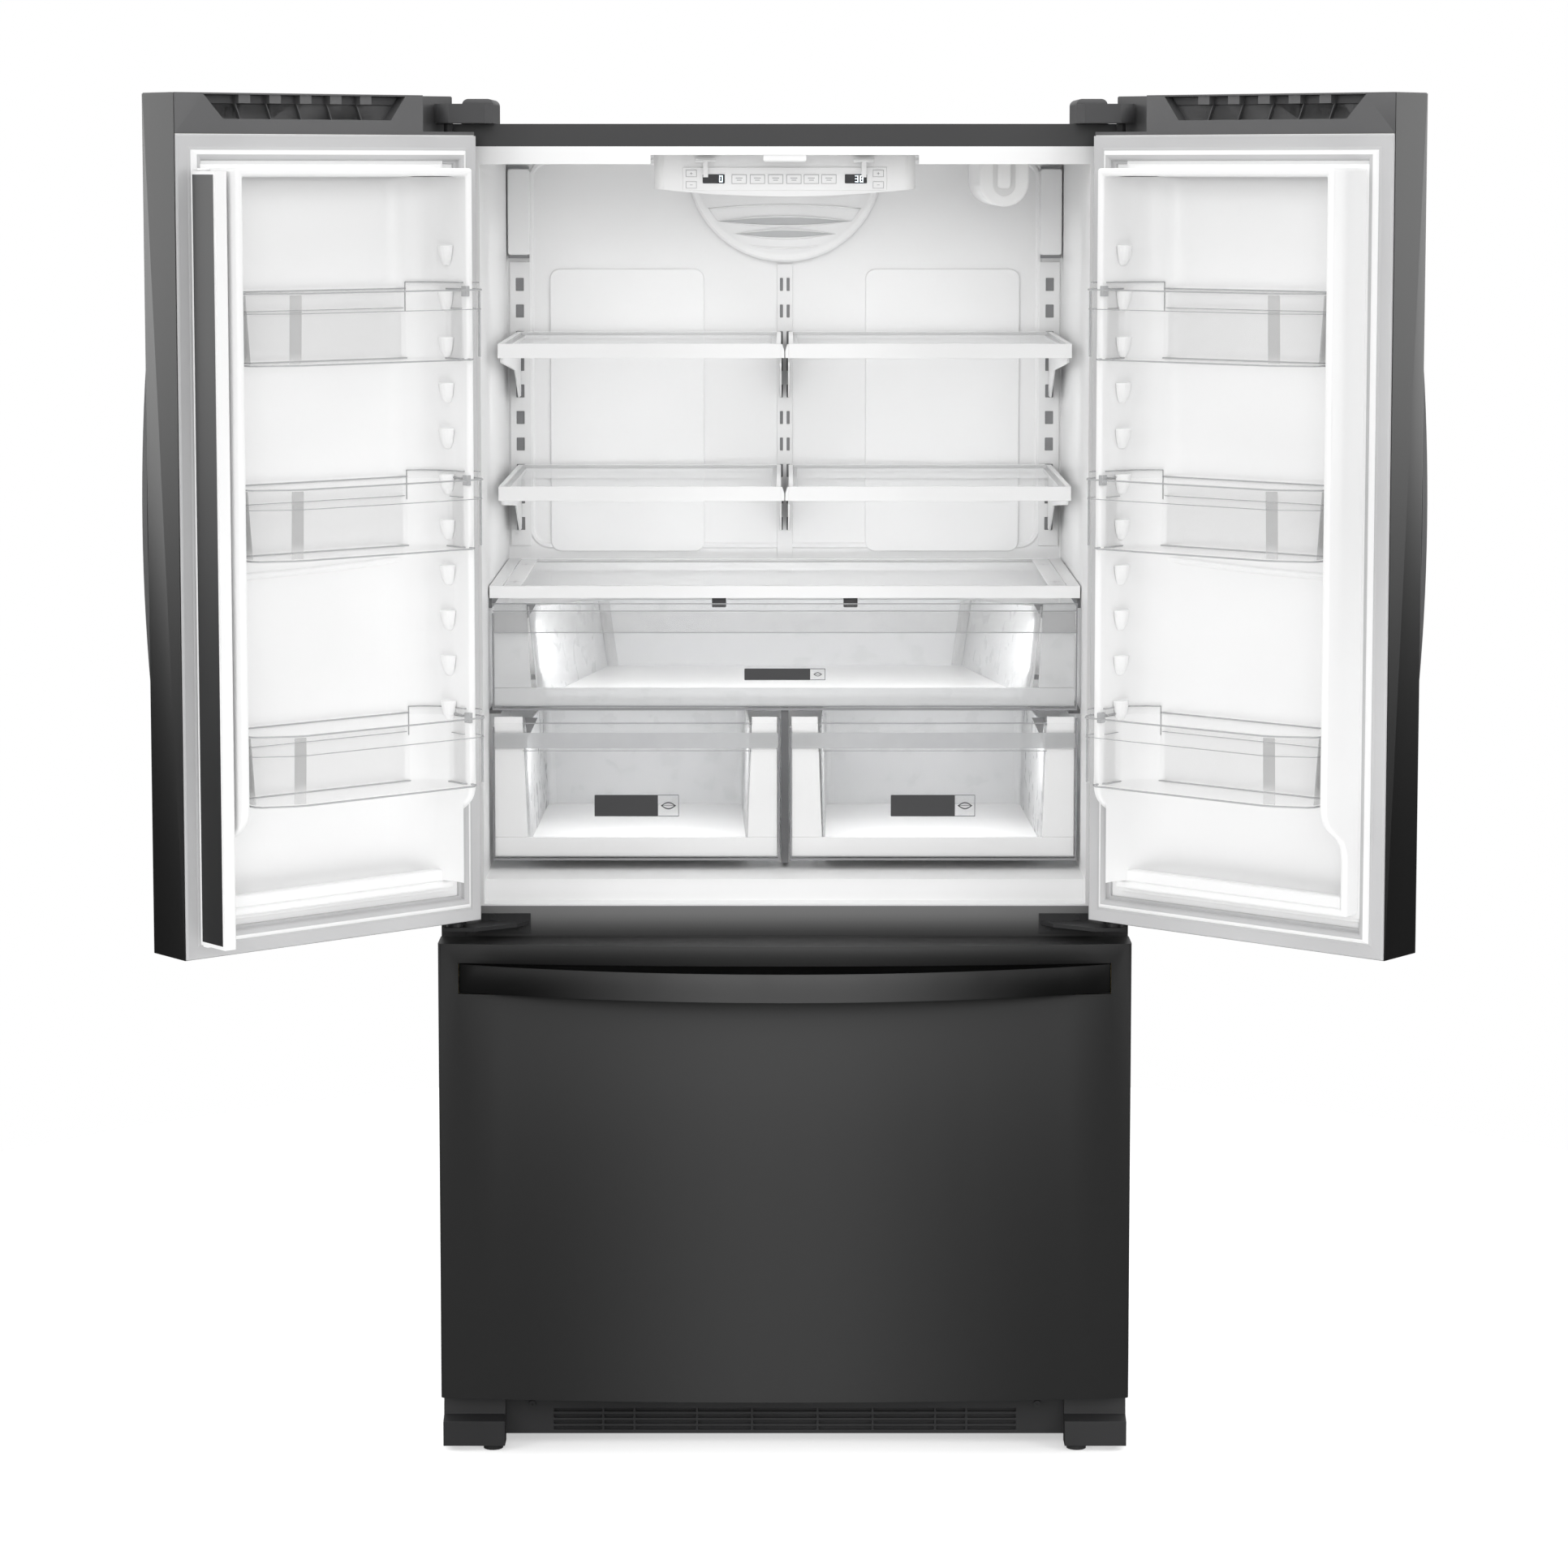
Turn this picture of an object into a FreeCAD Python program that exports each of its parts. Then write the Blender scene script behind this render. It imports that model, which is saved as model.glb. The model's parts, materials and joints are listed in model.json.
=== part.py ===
import FreeCAD, Part
import math
import os
from FreeCAD import Vector

# A French-door refrigerator with a freezer drawer below. Millimetres, +Z up, real size.
# Everything is drawn with both doors closed and the front plane of the case at y = 0; the doors are
# then swung to their open rest position and the whole is moved so that the origin lies on the floor
# under the middle of the assembly.

# --- driving dimensions: case ---
HALF_WIDTH = 452.5
CASE_BOTTOM = 60.0
CASE_TOP = 1746.0
CASE_DEPTH = 619.0
CASE_EDGE_R = 4.0
SHEET = 1.0
FLANGE_INNER = 420.0
FLANGE_RISE = 23.0
ORIGIN_BEHIND_FRONT = 110.0
PAST = 1.0
BACK_GROOVES = (-260.0, 0.0, 260.0)
BACK_GROOVE_WIDTH = 80.0
BACK_GROOVE_BOTTOM = 420.0
BACK_GROOVE_DROP = 120.0

# --- driving dimensions: base ---
FRAME_SIDE = 446.0
FRAME_SHELF = 410.0
FRAME_PLATE = 3.0
FRAME_BOTTOM = 52.0
CARRIER_FRONT = 540.0
CARRIER_BACK = 600.0
CARRIER_FOOT = 14.0
GRILLE_HALF = 372.0
GRILLE_FRONT = -25.0
GRILLE_BACK = -22.0
GRILLE_BOTTOM = 16.5
GRILLE_TOP = 74.0
GRILLE_RIBS = (-308.0, -241.0, -199.5, -116.5, -43.5, 43.5, 116.5, 199.5, 241.0, 308.0)
GRILLE_RIB = 3.0
GRILLE_ROWS = (48.5, 40.0, 31.8, 23.9)
GRILLE_SLOT = 4.6
LEG_X = -386.5
LEG_Y = -32.0
LEG_ARM_Z = 34.0

# --- driving dimensions: compartments ---
LINER = 2.5
ROOM_HALF = 396.0
ROOM_FLOOR = 752.0
ROOM_SILL = 724.0
ROOM_LINTEL = 1694.0
ROOM_CEILING = 1706.0
ROOM_DEPTH = 540.0
SILL_DEPTH = 30.0
NOTCH_HALF = 174.0
ROOM_CORNER = 3.0
FREEZER_FLOOR = 118.0
FREEZER_STEP = 300.0
FREEZER_TOP = 655.0
FREEZER_DEPTH = 480.0
FREEZER_STEP_DEPTH = 330.0
RAIL_TOP = 721.5
RAIL_BOTTOM = 680.0

# --- driving dimensions: doors ---
HINGE_X = -432.0
HINGE_Y = -42.0
OPEN_ANGLE = 140.0
DOOR_OUTER = -452.0
DOOR_FREE = -2.0
DOOR_BOTTOM = 712.0
DOOR_TOP = 1781.0
CAP_BOTTOM = 1731.0
DOOR_BACK = -12.0
FRONT_SIDE = -66.0
FRONT_BOW = 22.0
NOTCH_END = HINGE_X + 61.0
DIKE_OUTER = -387.0
DIKE_FREE = -36.0
DIKE_WALL = 10.0
DIKE_TOP = 1689.0
DIKE_BOTTOM = 767.0
DIKE_DEPTH = 73.0
DIKE_SHALLOW = 24.0
BIN_LEVELS = (1448.0, 1209.0, 906.0)
BIN_HEIGHT = 90.0
BIN_WALL = 2.0
GASKET_FACE = -0.5
CAP_RIBS = (140.0, 185.0, 230.0, 275.0, 320.0)
PIN_R = 6.0
PIN_CLEARANCE = 0.05
HINGE_PLATE = 4.0
ARM_BOTTOM = 697.0
ARM_TOP = 702.0
COVER_WALL = 2.0
COVER_NOSE = 25.0
COVER_RISE = 32.0
CAP_RECESS_DEPTH = 18.0
CAP_RECESS_LOW = 1749.0
CAP_RECESS_HIGH = 1779.0
POCKET_LEFT = -68.0
POCKET_RIGHT = -27.0
POCKET_BOTTOM = 864.0
POCKET_TOP = 1624.0
POCKET_WALL = 1.5
GRIP_DEPTH = 50.0
GRIP_THICK = 12.0
FLANGE_BACK = -8.0
FLANGE_WIDTH = 33.0
BEAD_WIDTH = 11.0
BIN_BACK = -10.0
BIN_FRONT = 100.0
SCREW_HEAD_R = 4.5
SCREW_HEAD_HEIGHT = 2.2
FRONT_CORNER = 5.0

# --- driving dimensions: flip mullion ---
PIVOT_X = -23.25
PIVOT_Y = 9.75
MULLION_BOTTOM = 733.5
MULLION_TOP = 1685.6
PIVOT_PIN_R = 2.5
PIVOT_LUG = 2.8
PIVOT_GAP = 0.4
PIVOT_BORE = 5.0

# --- driving dimensions: controls, air and filter ---
PANEL_HALF = 172.0
PANEL_FRONT = 84.0
PANEL_SIDE_BOTTOM = 1662.0
PANEL_BOTTOM = 1652.0
PANEL_DEPTH = 216.0
PANEL_CORNER = 14.0
PANEL_WALL = 8.0
KEY_FRONT = 81.8
KEY_BACK = 82.4
KEYS = (-60.0, -36.0, -12.0, 12.0, 35.0, 58.0)
KEY_WIDTH = 19.4
KEY_BOTTOM = 1668.6
KEY_TOP = 1680.4
STEPPER_X = 123.0
STEPPER_LEVELS = (1682.0, 1667.0)
DISPLAY_X = 93.5
DISPLAY_WIDTH = 29.0
SWITCH_X = -104.0
SWITCH_Y = 77.0
SWITCH_Z = 1699.0
SWITCH_R = 2.4
GUIDE_HALF = 28.0
DIFFUSER_HALF = 139.0
DIFFUSER_DROP = 138.0
DIFFUSER_FRONT = 522.0
DIFFUSER_WALL = 5.0
VENTS = ((93.0, 1614.0, 10.0), (70.0, 1596.0, 9.0))
FILTER_X = 292.0
FILTER_Z = 1671.0
FILTER_R = 33.0
FILTER_WALL = 3.0
FILTER_FRONT = 150.0
FILTER_BACK = 480.0

# --- driving dimensions: shelves and drawers ---
LADDER_FRONT = 537.0
LADDER_SLOTS = 10
LADDER_FIRST = 1524.0
LADDER_PITCH = 38.0
LADDER_SLOT = 18.6
BRACKET = 2.2
GLASS = 3.8
GLASS_REST = 4.4
COVER_TRIM = 16.0
FRONT_THICK = 8.0
PAN_WALL = 2.5
PAN_CORNER = 14.0
SHELF_LEVELS = (1457.0, 1267.0)
SHELF_TRIM = 19.0
SHELF_FRONT = 108.0
SHELF_BACK = 530.0
SHELF_INNER = 5.4
SHELF_OUTER = 381.0
COVER_TOP = 1134.0
COVER_HALF = 394.0
DELI_HALF = 391.0
DELI_BOTTOM = 967.0
DELI_TOP = 1111.0
CRISPER_INNER = 7.0
CRISPER_BOTTOM = 764.0
CRISPER_TOP = 958.0
DRAWER_BACK = 500.0

# --- driving dimensions: freezer drawer front ---
DRAWER_BOTTOM = 77.0
DRAWER_TOP = 683.0
HANDLE_BOTTOM = 617.0
HANDLE_TOP = 658.0
HANDLE_HALF = 425.0
SLIDE_BOTTOM = 306.0
SLIDE_TOP = 326.0
BAR_DEPTH = 74.0
BAR_THICK = 13.0
BAR_BASE = -66.0
POCKET_BACK = -50.0
SLIDE_BACK = 425.0
BIN_HALF = 362.0
BASKET_HALF = 370.0
BASKET_BOTTOM = 392.0
BASKET_TOP = 520.0
BASKET_CORNER = 16.0

# --- driving dimensions: machinery ---
MACHINE_FRONT = 340.0
MACHINE_TOP = 292.0
ROLLER_R = 20.0
ROLLER_X = 400.0
ROLLER_Y = 570.0
FAN_Y = 480.0
FAN_Z = 165.0
COLD_FAN_Z = 560.0
CAN_X = -270.0
CAN_R = 78.0
CAN_TOP = 190.0
PLINTH = 55.0
COIL_HALF = 70.0
CONDENSER_LEFT = 120.0
CONDENSER_RIGHT = 330.0
FAN_RING_R = 82.0
FAN_BORE_R = 76.0
FAN_RING_WIDTH = 24.0
MOTOR_R = 22.0
BLADES = 5
BLADE_SLANT = 28.0
FIN_HALF = 290.0
FIN_PITCH = 29.0
COVER_FRONT = 438.0
COVER_BACK = 441.0
INLET_X = 380.0
INLET_Z = 230.0


# --- helpers ---
def box(x0, x1, y0, y1, z0, z1):
    return Part.makeBox(x1 - x0, y1 - y0, z1 - z0, Vector(x0, y0, z0))


def mirrored(shape):
    return shape.mirror(Vector(0, 0, 0), Vector(1, 0, 0))


def both_sides(shape):
    return [shape, mirrored(shape)]


def fused(shapes):
    return shapes[0].fuse(shapes[1:]).removeSplitter()


def rod(start, end, radius):
    along = Vector(*end) - Vector(*start)
    return Part.makeCylinder(radius, along.Length, Vector(*start), along)


def face_of(edges):
    return Part.Face(Part.Wire(Part.__sortEdges__(edges)))


def polygon(points):
    return Part.Face(Part.makePolygon([Vector(*p) for p in points] + [Vector(*points[0])]))


def profile_x(points, x0, x1):
    """A (y, z) outline drawn out from x0 to x1."""
    return polygon([(x0, y, z) for y, z in points]).extrude(Vector(x1 - x0, 0, 0))


def profile_z(points, z0, z1):
    """An (x, y) outline drawn out from z0 to z1."""
    return polygon([(x, y, z0) for x, y in points]).extrude(Vector(0, 0, z1 - z0))


def upright_edges(shape):
    return [e for e in shape.Edges if abs(e.tangentAt(e.FirstParameter).z) > 0.999]


def rounded(shape, radius, test=None):
    """Rounds the upright edges that pass the test, or all of them."""
    edges = [e for e in upright_edges(shape) if test is None or test(e.CenterOfMass)]
    return shape.makeFillet(radius, edges)


def tray(x0, x1, y0, y1, z0, z1, wall, corner):
    """An open-topped box with round corners."""
    outer = rounded(box(x0, x1, y0, y1, z0, z1), corner)
    inner = rounded(box(x0 + wall, x1 - wall, y0 + wall, y1 - wall, z0 + wall, z1 + 1), corner - wall)
    return outer.cut(inner)


def frame_ring(x0, x1, z0, z1, y0, y1, inset):
    """A flat rectangular ring in the plane of the front."""
    hole = box(x0 + inset, x1 - inset, y0 - 1, y1 + 1, z0 + inset, z1 - inset)
    return box(x0, x1, y0, y1, z0, z1).cut(hole)


# --- the bowed front ---
BOW_RADIUS = (HALF_WIDTH ** 2 + FRONT_BOW ** 2) / (2 * FRONT_BOW)
BOW_CENTRE = FRONT_SIDE - FRONT_BOW + BOW_RADIUS


def bow_y(x):
    return BOW_CENTRE - math.sqrt(BOW_RADIUS ** 2 - x ** 2)


def bowed_slab(x0, x1, z0, z1, inset=0.0, back=DOOR_BACK):
    """A slab whose front follows the common bow of the doors and the drawer."""
    middle = (x0 + x1) / 2
    corners = [Vector(x0, bow_y(x0) + inset, z0), Vector(x1, bow_y(x1) + inset, z0)]
    arc = Part.Arc(corners[0], Vector(middle, bow_y(middle) + inset, z0), corners[1]).toShape()
    back_left = Vector(x0, back, z0)
    back_right = Vector(x1, back, z0)
    edges = [
        arc,
        Part.makeLine(corners[1], back_right),
        Part.makeLine(back_right, back_left),
        Part.makeLine(back_left, corners[0]),
    ]
    return face_of(edges).extrude(Vector(0, 0, z1 - z0))


def soft_slab(x0, x1, z0, z1, inset=0.0, back=DOOR_BACK):
    """A bowed slab with its two front edges rounded, less so the deeper it is set in."""
    slab = bowed_slab(x0, x1, z0, z1, inset, back)
    return rounded(slab, FRONT_CORNER - inset, lambda c: c.y < DOOR_BACK - 5)


def front_skin(x0, x1, z0, z1):
    """Sheet steel folded round the front and the two sides."""
    inner = soft_slab(x0 + SHEET, x1 - SHEET, z0 - 1, z1 + 1, SHEET, DOOR_BACK + 1)
    return soft_slab(x0, x1, z0, z1).cut(inner)


# --- placing ---
MOVE_TO_ORIGIN = Vector(0, -ORIGIN_BEHIND_FRONT, 0)


def opened(shape):
    """The left door's parts, swung from closed to the open rest position."""
    turned = shape.copy()
    turned.rotate(Vector(HINGE_X, HINGE_Y, 0), Vector(0, 0, 1), -OPEN_ANGLE)
    return turned


def save(name, shapes):
    solids = [s for shape in shapes for s in shape.Solids]
    whole = solids[0] if len(solids) == 1 else Part.makeCompound(solids)
    whole.translate(MOVE_TO_ORIGIN)
    whole.exportStep("parts/" + name + ".step")


def save_door(name, shapes):
    save("left_door_" + name, [opened(s) for s in shapes])
    save("right_door_" + name, [mirrored(opened(s)) for s in shapes])


# --- case ---
def room_space(grow):
    """The fresh-food room, grown by a wall thickness."""
    half = ROOM_HALF + grow
    main = box(-half, half, 8, ROOM_DEPTH + grow, ROOM_FLOOR - grow, ROOM_CEILING + grow)
    main = rounded(main, ROOM_CORNER + grow, lambda c: c.y > ROOM_DEPTH / 2)
    mouth = box(-half, half, -1, 9, ROOM_SILL - grow, ROOM_LINTEL + grow)
    step = box(-half, half, -1, SILL_DEPTH + grow, ROOM_SILL - grow, ROOM_FLOOR + 1)
    notch_half = NOTCH_HALF + grow
    notch = box(-notch_half, notch_half, -1, 9, ROOM_LINTEL - 4, ROOM_CEILING + grow)
    return main.fuse([mouth, step, notch])


def freezer_space(grow):
    """The freezer room with the step over the machinery."""
    half = ROOM_HALF + grow
    upper = box(-half, half, -1, FREEZER_DEPTH + grow, FREEZER_STEP - grow, FREEZER_TOP + grow)
    lower = box(-half, half, -1, FREEZER_STEP_DEPTH + grow, FREEZER_FLOOR - grow, FREEZER_STEP + 1)
    return upper.fuse(lower)


def cabinet_wrapper():
    outer = box(-HALF_WIDTH, HALF_WIDTH, 0, CASE_DEPTH - SHEET, CASE_BOTTOM, CASE_TOP)
    outer = outer.makeFillet(CASE_EDGE_R, [e for e in outer.Edges if abs(e.CenterOfMass.z - CASE_TOP) < 1
                                   and abs(abs(e.CenterOfMass.x) - HALF_WIDTH) < 1])
    half = HALF_WIDTH - SHEET
    inner = box(-half, half, SHEET, CASE_DEPTH, CASE_BOTTOM - 1, CASE_TOP - SHEET)
    window = box(-FLANGE_INNER, FLANGE_INNER, -1, SHEET + 1, CASE_BOTTOM - PAST, ROOM_LINTEL + FLANGE_RISE)
    return outer.cut([inner, window])


def cabinet_back():
    panel = box(-HALF_WIDTH, HALF_WIDTH, CASE_DEPTH - SHEET, CASE_DEPTH, MACHINE_TOP + 6, CASE_TOP)
    half = BACK_GROOVE_WIDTH / 2
    grooves = [box(x - half, x + half, CASE_DEPTH - SHEET / 2, CASE_DEPTH + PAST, BACK_GROOVE_BOTTOM,
                   CASE_TOP - BACK_GROOVE_DROP) for x in BACK_GROOVES]
    return panel.cut(grooves)


def cabinet_foam():
    half = HALF_WIDTH - SHEET
    block = box(-half, half, 3.5, CASE_DEPTH - SHEET, CASE_BOTTOM + 4, CASE_TOP - SHEET)
    machine = box(-half - 1, half + 1, FREEZER_STEP_DEPTH + 40, CASE_DEPTH, CASE_BOTTOM, MACHINE_TOP + 6)
    sill = box(-FLANGE_INNER, FLANGE_INNER, 3, 26, RAIL_BOTTOM, RAIL_TOP)
    evaporator_way = box(-300, 300, FREEZER_DEPTH, FREEZER_DEPTH + 6, 330, 640)
    return block.cut([room_space(LINER), freezer_space(LINER), machine, sill, evaporator_way])


def fridge_liner():
    flange = box(-FLANGE_INNER, FLANGE_INNER, 0, LINER, RAIL_TOP, ROOM_LINTEL + FLANGE_RISE)
    shell = room_space(LINER).fuse(flange)
    ahead = box(-HALF_WIDTH, HALF_WIDTH, -5, 0, 0, CASE_TOP)
    return shell.cut([room_space(0), ahead])


def freezer_liner():
    flange = box(-FLANGE_INNER, FLANGE_INNER, 0, LINER, CASE_BOTTOM + 34, RAIL_BOTTOM)
    shell = freezer_space(LINER).fuse(flange)
    ahead = box(-HALF_WIDTH, HALF_WIDTH, -5, 0, 0, CASE_TOP)
    ledge = box(-ROOM_HALF, -ROOM_HALF + 14, 30, 430, 372, 380)
    shell = shell.cut([freezer_space(0), ahead])
    return shell.fuse(both_sides(ledge)).removeSplitter()


def mullion_rail():
    outer = box(-FLANGE_INNER, FLANGE_INNER, 0, 25, RAIL_BOTTOM, RAIL_TOP)
    inner = box(-FLANGE_INNER - 1, FLANGE_INNER + 1, 1.2, 26, RAIL_BOTTOM + 1.2, RAIL_TOP - 1.2)
    return outer.cut(inner)


def base_frame():
    floor = box(-HALF_WIDTH + 1.5, HALF_WIDTH - 1.5, 4, FREEZER_STEP_DEPTH + 40, CASE_BOTTOM,
                CASE_BOTTOM + FRAME_PLATE)
    back = CASE_DEPTH - 2
    web = -FRAME_SIDE + FRAME_PLATE
    inner = -GRILLE_HALF + FRAME_PLATE
    side_pieces = [
        box(-FRAME_SIDE, -FRAME_SHELF, 4, back, FRAME_BOTTOM, CASE_BOTTOM),
        box(-FRAME_SIDE, web, 4, back, 24, CASE_BOTTOM),
        box(-FRAME_SIDE, web, CARRIER_FRONT, CARRIER_BACK, CARRIER_FOOT, CASE_BOTTOM),
        box(-GRILLE_HALF, inner, CARRIER_FRONT, CARRIER_BACK, CARRIER_FOOT, CASE_BOTTOM),
        box(-FRAME_SHELF - PAST, inner, CARRIER_FRONT, CARRIER_BACK, FRAME_BOTTOM, CASE_BOTTOM),
    ]
    machine_tray = box(-FRAME_SHELF - PAST, FRAME_SHELF + PAST, MACHINE_FRONT, CASE_DEPTH - 4, FRAME_BOTTOM,
                       FRAME_BOTTOM + FRAME_PLATE)
    return fused([floor, machine_tray] + [s for piece in side_pieces for s in both_sides(piece)])


def grille_slots():
    slots = []
    for row in GRILLE_ROWS:
        low = row - GRILLE_SLOT / 2
        for left, right in zip(GRILLE_RIBS[:-1], GRILLE_RIBS[1:]):
            x0, x1 = left + GRILLE_RIB / 2, right - GRILLE_RIB / 2
            slots.append(box(x0, x1, GRILLE_FRONT - PAST, GRILLE_BACK + PAST, low, low + GRILLE_SLOT))
    return slots


def grille_foot():
    """The hollow block that hides a levelling leg."""
    side = [(GRILLE_BACK, 7), (-50, 7), (-50, 40), (-34, 46), (-30, GRILLE_TOP), (GRILLE_BACK, GRILLE_TOP)]
    foot = profile_x(side, -HALF_WIDTH + 1, -GRILLE_HALF + 2)
    return foot.cut(box(-HALF_WIDTH + 4, -GRILLE_HALF - 1, -46, GRILLE_BACK + PAST, 5, 38))


def base_grille():
    panel = box(-GRILLE_HALF, GRILLE_HALF, GRILLE_FRONT, GRILLE_BACK, GRILLE_BOTTOM, GRILLE_TOP)
    stay = box(-HALF_WIDTH + 4, -GRILLE_HALF - 8, GRILLE_BACK, 0, 60, 72)
    return fused([panel.cut(grille_slots())] + both_sides(grille_foot()) + both_sides(stay))


def levelling_legs():
    pad = rod((LEG_X, LEG_Y, 0), (LEG_X, LEG_Y, 9), 13)
    shank = rod((LEG_X, LEG_Y, 9), (LEG_X, LEG_Y, LEG_ARM_Z), 5)
    arm = box(-442.5, LEG_X + 6.5, LEG_Y - 8, 4, LEG_ARM_Z, LEG_ARM_Z + FRAME_PLATE)
    strap = box(-442.5, -FRAME_SHELF, 0, 30, LEG_ARM_Z + FRAME_PLATE, FRAME_BOTTOM - 0.1)
    return both_sides(fused([pad, shank, arm, strap]))


def rear_rollers():
    wheel = rod((-ROLLER_X - 11, ROLLER_Y, ROLLER_R), (-ROLLER_X + 11, ROLLER_Y, ROLLER_R), ROLLER_R)
    bore = rod((-ROLLER_X - 12, ROLLER_Y, ROLLER_R), (-ROLLER_X + 12, ROLLER_Y, ROLLER_R), 4.05)
    return both_sides(wheel.cut(bore))


def roller_pins():
    return both_sides(rod((-443, ROLLER_Y, ROLLER_R), (-372, ROLLER_Y, ROLLER_R), 4.0))


# --- door hinges ---
def top_hinge():
    outline = [(-418, 110), (-380, 110), (-380, -20), (-414, -58), (-446, -50), (-446, -34), (-418, -20)]
    plate = profile_z(outline, CASE_TOP, CASE_TOP + HINGE_PLATE)
    pin = rod((HINGE_X, HINGE_Y, CASE_TOP - 44), (HINGE_X, HINGE_Y, CASE_TOP + HINGE_PLATE), PIN_R)
    return fused([plate, pin])


def centre_hinge():
    plate = box(-399, -335, -3, 0, RAIL_BOTTOM + 6, RAIL_TOP - 10)
    arm_outline = [(-399, 0), (-335, 0), (-352, -24), (-405, -56), (-446, -56), (-446, -28), (-410, -24)]
    arm = profile_z(arm_outline, ARM_BOTTOM, ARM_TOP)
    pin = rod((HINGE_X, HINGE_Y, ARM_BOTTOM), (HINGE_X, HINGE_Y, DOOR_BOTTOM + 33), PIN_R)
    washer = rod((HINGE_X, HINGE_Y, ARM_TOP), (HINGE_X, HINGE_Y, DOOR_BOTTOM - 1), 11)
    return fused([plate, arm, washer, pin])


def cover_block(wall, low, nose_top, rear_top):
    """The outline of a hinge cover: a rear block, a round nose over the pin and a bridge."""
    front = -22 if wall == 0 else -24
    rear = box(-416 + wall, -376 - wall, front, 112 - wall, low, rear_top)
    nose = rod((HINGE_X, HINGE_Y, low), (HINGE_X, HINGE_Y, nose_top), 18 - wall * 1.25)
    bridge = profile_z([(-432, -60 + wall * 1.25), (-384 - wall, -58 + wall * 1.25), (-376 - wall, -22),
                        (-416 + wall, -22), (-432, -24 - wall * 1.5)], low, nose_top)
    return rear, nose, bridge


def hinge_cover():
    low = CASE_TOP + 0.5
    rear, nose, bridge = cover_block(0, low, CASE_TOP + COVER_NOSE, CASE_TOP + COVER_RISE)
    rear = rear.makeFillet(8.0, [e for e in rear.Edges if e.CenterOfMass.z > CASE_TOP + COVER_RISE - 1])
    inside = CASE_TOP + COVER_NOSE - 3
    hollow = cover_block(COVER_WALL, CASE_TOP, inside, inside)
    return fused([rear, nose, bridge]).cut(list(hollow) + [top_hinge()])


def screw_head(x, y, z, direction):
    """The head alone, with a round driver recess; the shank inside the wall isn't drawn."""
    along = Vector(*direction)
    top = Vector(x, y, z) + along * SCREW_HEAD_HEIGHT
    head = rod((x, y, z), tuple(top), SCREW_HEAD_R)
    return head.cut(rod(tuple(top - along), tuple(top), SCREW_HEAD_R / 3))


def screws():
    places = [(-347, -3, 692, (0, -1, 0)), (-385, -3, 707, (0, -1, 0)), (-335, -25, 57, (0, -1, 0))]
    places += [(-399, 60, CASE_TOP + 4, (0, 0, 1)), (-399, 95, CASE_TOP + 4, (0, 0, 1))]
    places += [(-420, CASE_DEPTH, 90, (0, 1, 0)), (-420, CASE_DEPTH, 280, (0, 1, 0))]
    return [s for place in places for s in both_sides(screw_head(*place))]


# --- fresh-food room ---
def control_housing():
    low = PANEL_SIDE_BOTTOM
    left = Vector(-PANEL_HALF, PANEL_FRONT, low)
    right = Vector(PANEL_HALF, PANEL_FRONT, low)
    top_right = Vector(PANEL_HALF, PANEL_FRONT, ROOM_CEILING)
    top_left = Vector(-PANEL_HALF, PANEL_FRONT, ROOM_CEILING)
    edges = [
        Part.Arc(left, Vector(0, PANEL_FRONT, PANEL_BOTTOM), right).toShape(),
        Part.makeLine(right, top_right),
        Part.makeLine(top_right, top_left),
        Part.makeLine(top_left, left),
    ]
    block = face_of(edges).extrude(Vector(0, PANEL_DEPTH, 0))
    block = rounded(block, PANEL_CORNER, lambda c: c.y < PANEL_FRONT + 6)
    inside = PANEL_HALF - PANEL_WALL
    back = PANEL_FRONT + PANEL_DEPTH
    return block.cut(box(-inside, inside, PANEL_FRONT + 4, back - 4, low + 4, ROOM_CEILING - 3))


def raised_key(x, width, low, high):
    return box(x - width / 2, x + width / 2, KEY_FRONT, KEY_BACK, low, high)


def control_face():
    overlay = box(-134, 134, KEY_BACK, PANEL_FRONT, 1660, 1690)
    keys = [raised_key(x, KEY_WIDTH, KEY_BOTTOM, KEY_TOP) for x in KEYS]
    steppers = [raised_key(x, 14, z - 4.5, z + 4.5) for x in (-STEPPER_X, STEPPER_X) for z in STEPPER_LEVELS]
    displays = [raised_key(x, DISPLAY_WIDTH, 1669, 1681) for x in (-DISPLAY_X, DISPLAY_X)]
    return fused([overlay] + keys + steppers + displays)


def light_switch():
    """A T-shaped lever that hangs in front of the control housing."""
    bar = rod((SWITCH_X - 13.5, SWITCH_Y, SWITCH_Z), (SWITCH_X + 13.5, SWITCH_Y, SWITCH_Z), SWITCH_R)
    stem = box(SWITCH_X - 3.2, SWITCH_X + 3.2, SWITCH_Y - 1.6, SWITCH_Y + 1.6, SWITCH_Z - 22, SWITCH_Z - 1)
    return bar.fuse(stem).removeSplitter()


def mullion_guide():
    block = box(-GUIDE_HALF, GUIDE_HALF, 2, 70, ROOM_LINTEL + 3, ROOM_CEILING)
    block = block.makeFillet(3.0, [e for e in block.Edges if e.CenterOfMass.z < ROOM_LINTEL + 4])
    return block


def half_ellipse(half, drop, y0, y1):
    top = ROOM_LINTEL
    left = Vector(-half, y0, top)
    right = Vector(half, y0, top)
    ellipse = Part.Ellipse(right, Vector(0, y0, top - drop), Vector(0, y0, top))
    curve = Part.Arc(ellipse, 0, math.pi).toShape()
    return face_of([curve, Part.makeLine(left, right)]).extrude(Vector(0, y1 - y0, 0))


def lens(half, z, height, y0, y1):
    """A slit with pointed ends, as the vents have."""
    left = Vector(-half, y0, z)
    right = Vector(half, y0, z)
    upper = Part.Arc(left, Vector(0, y0, z + height / 2), right).toShape()
    lower = Part.Arc(left, Vector(0, y0, z - height / 2), right).toShape()
    return face_of([upper, lower]).extrude(Vector(0, y1 - y0, 0))


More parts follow.
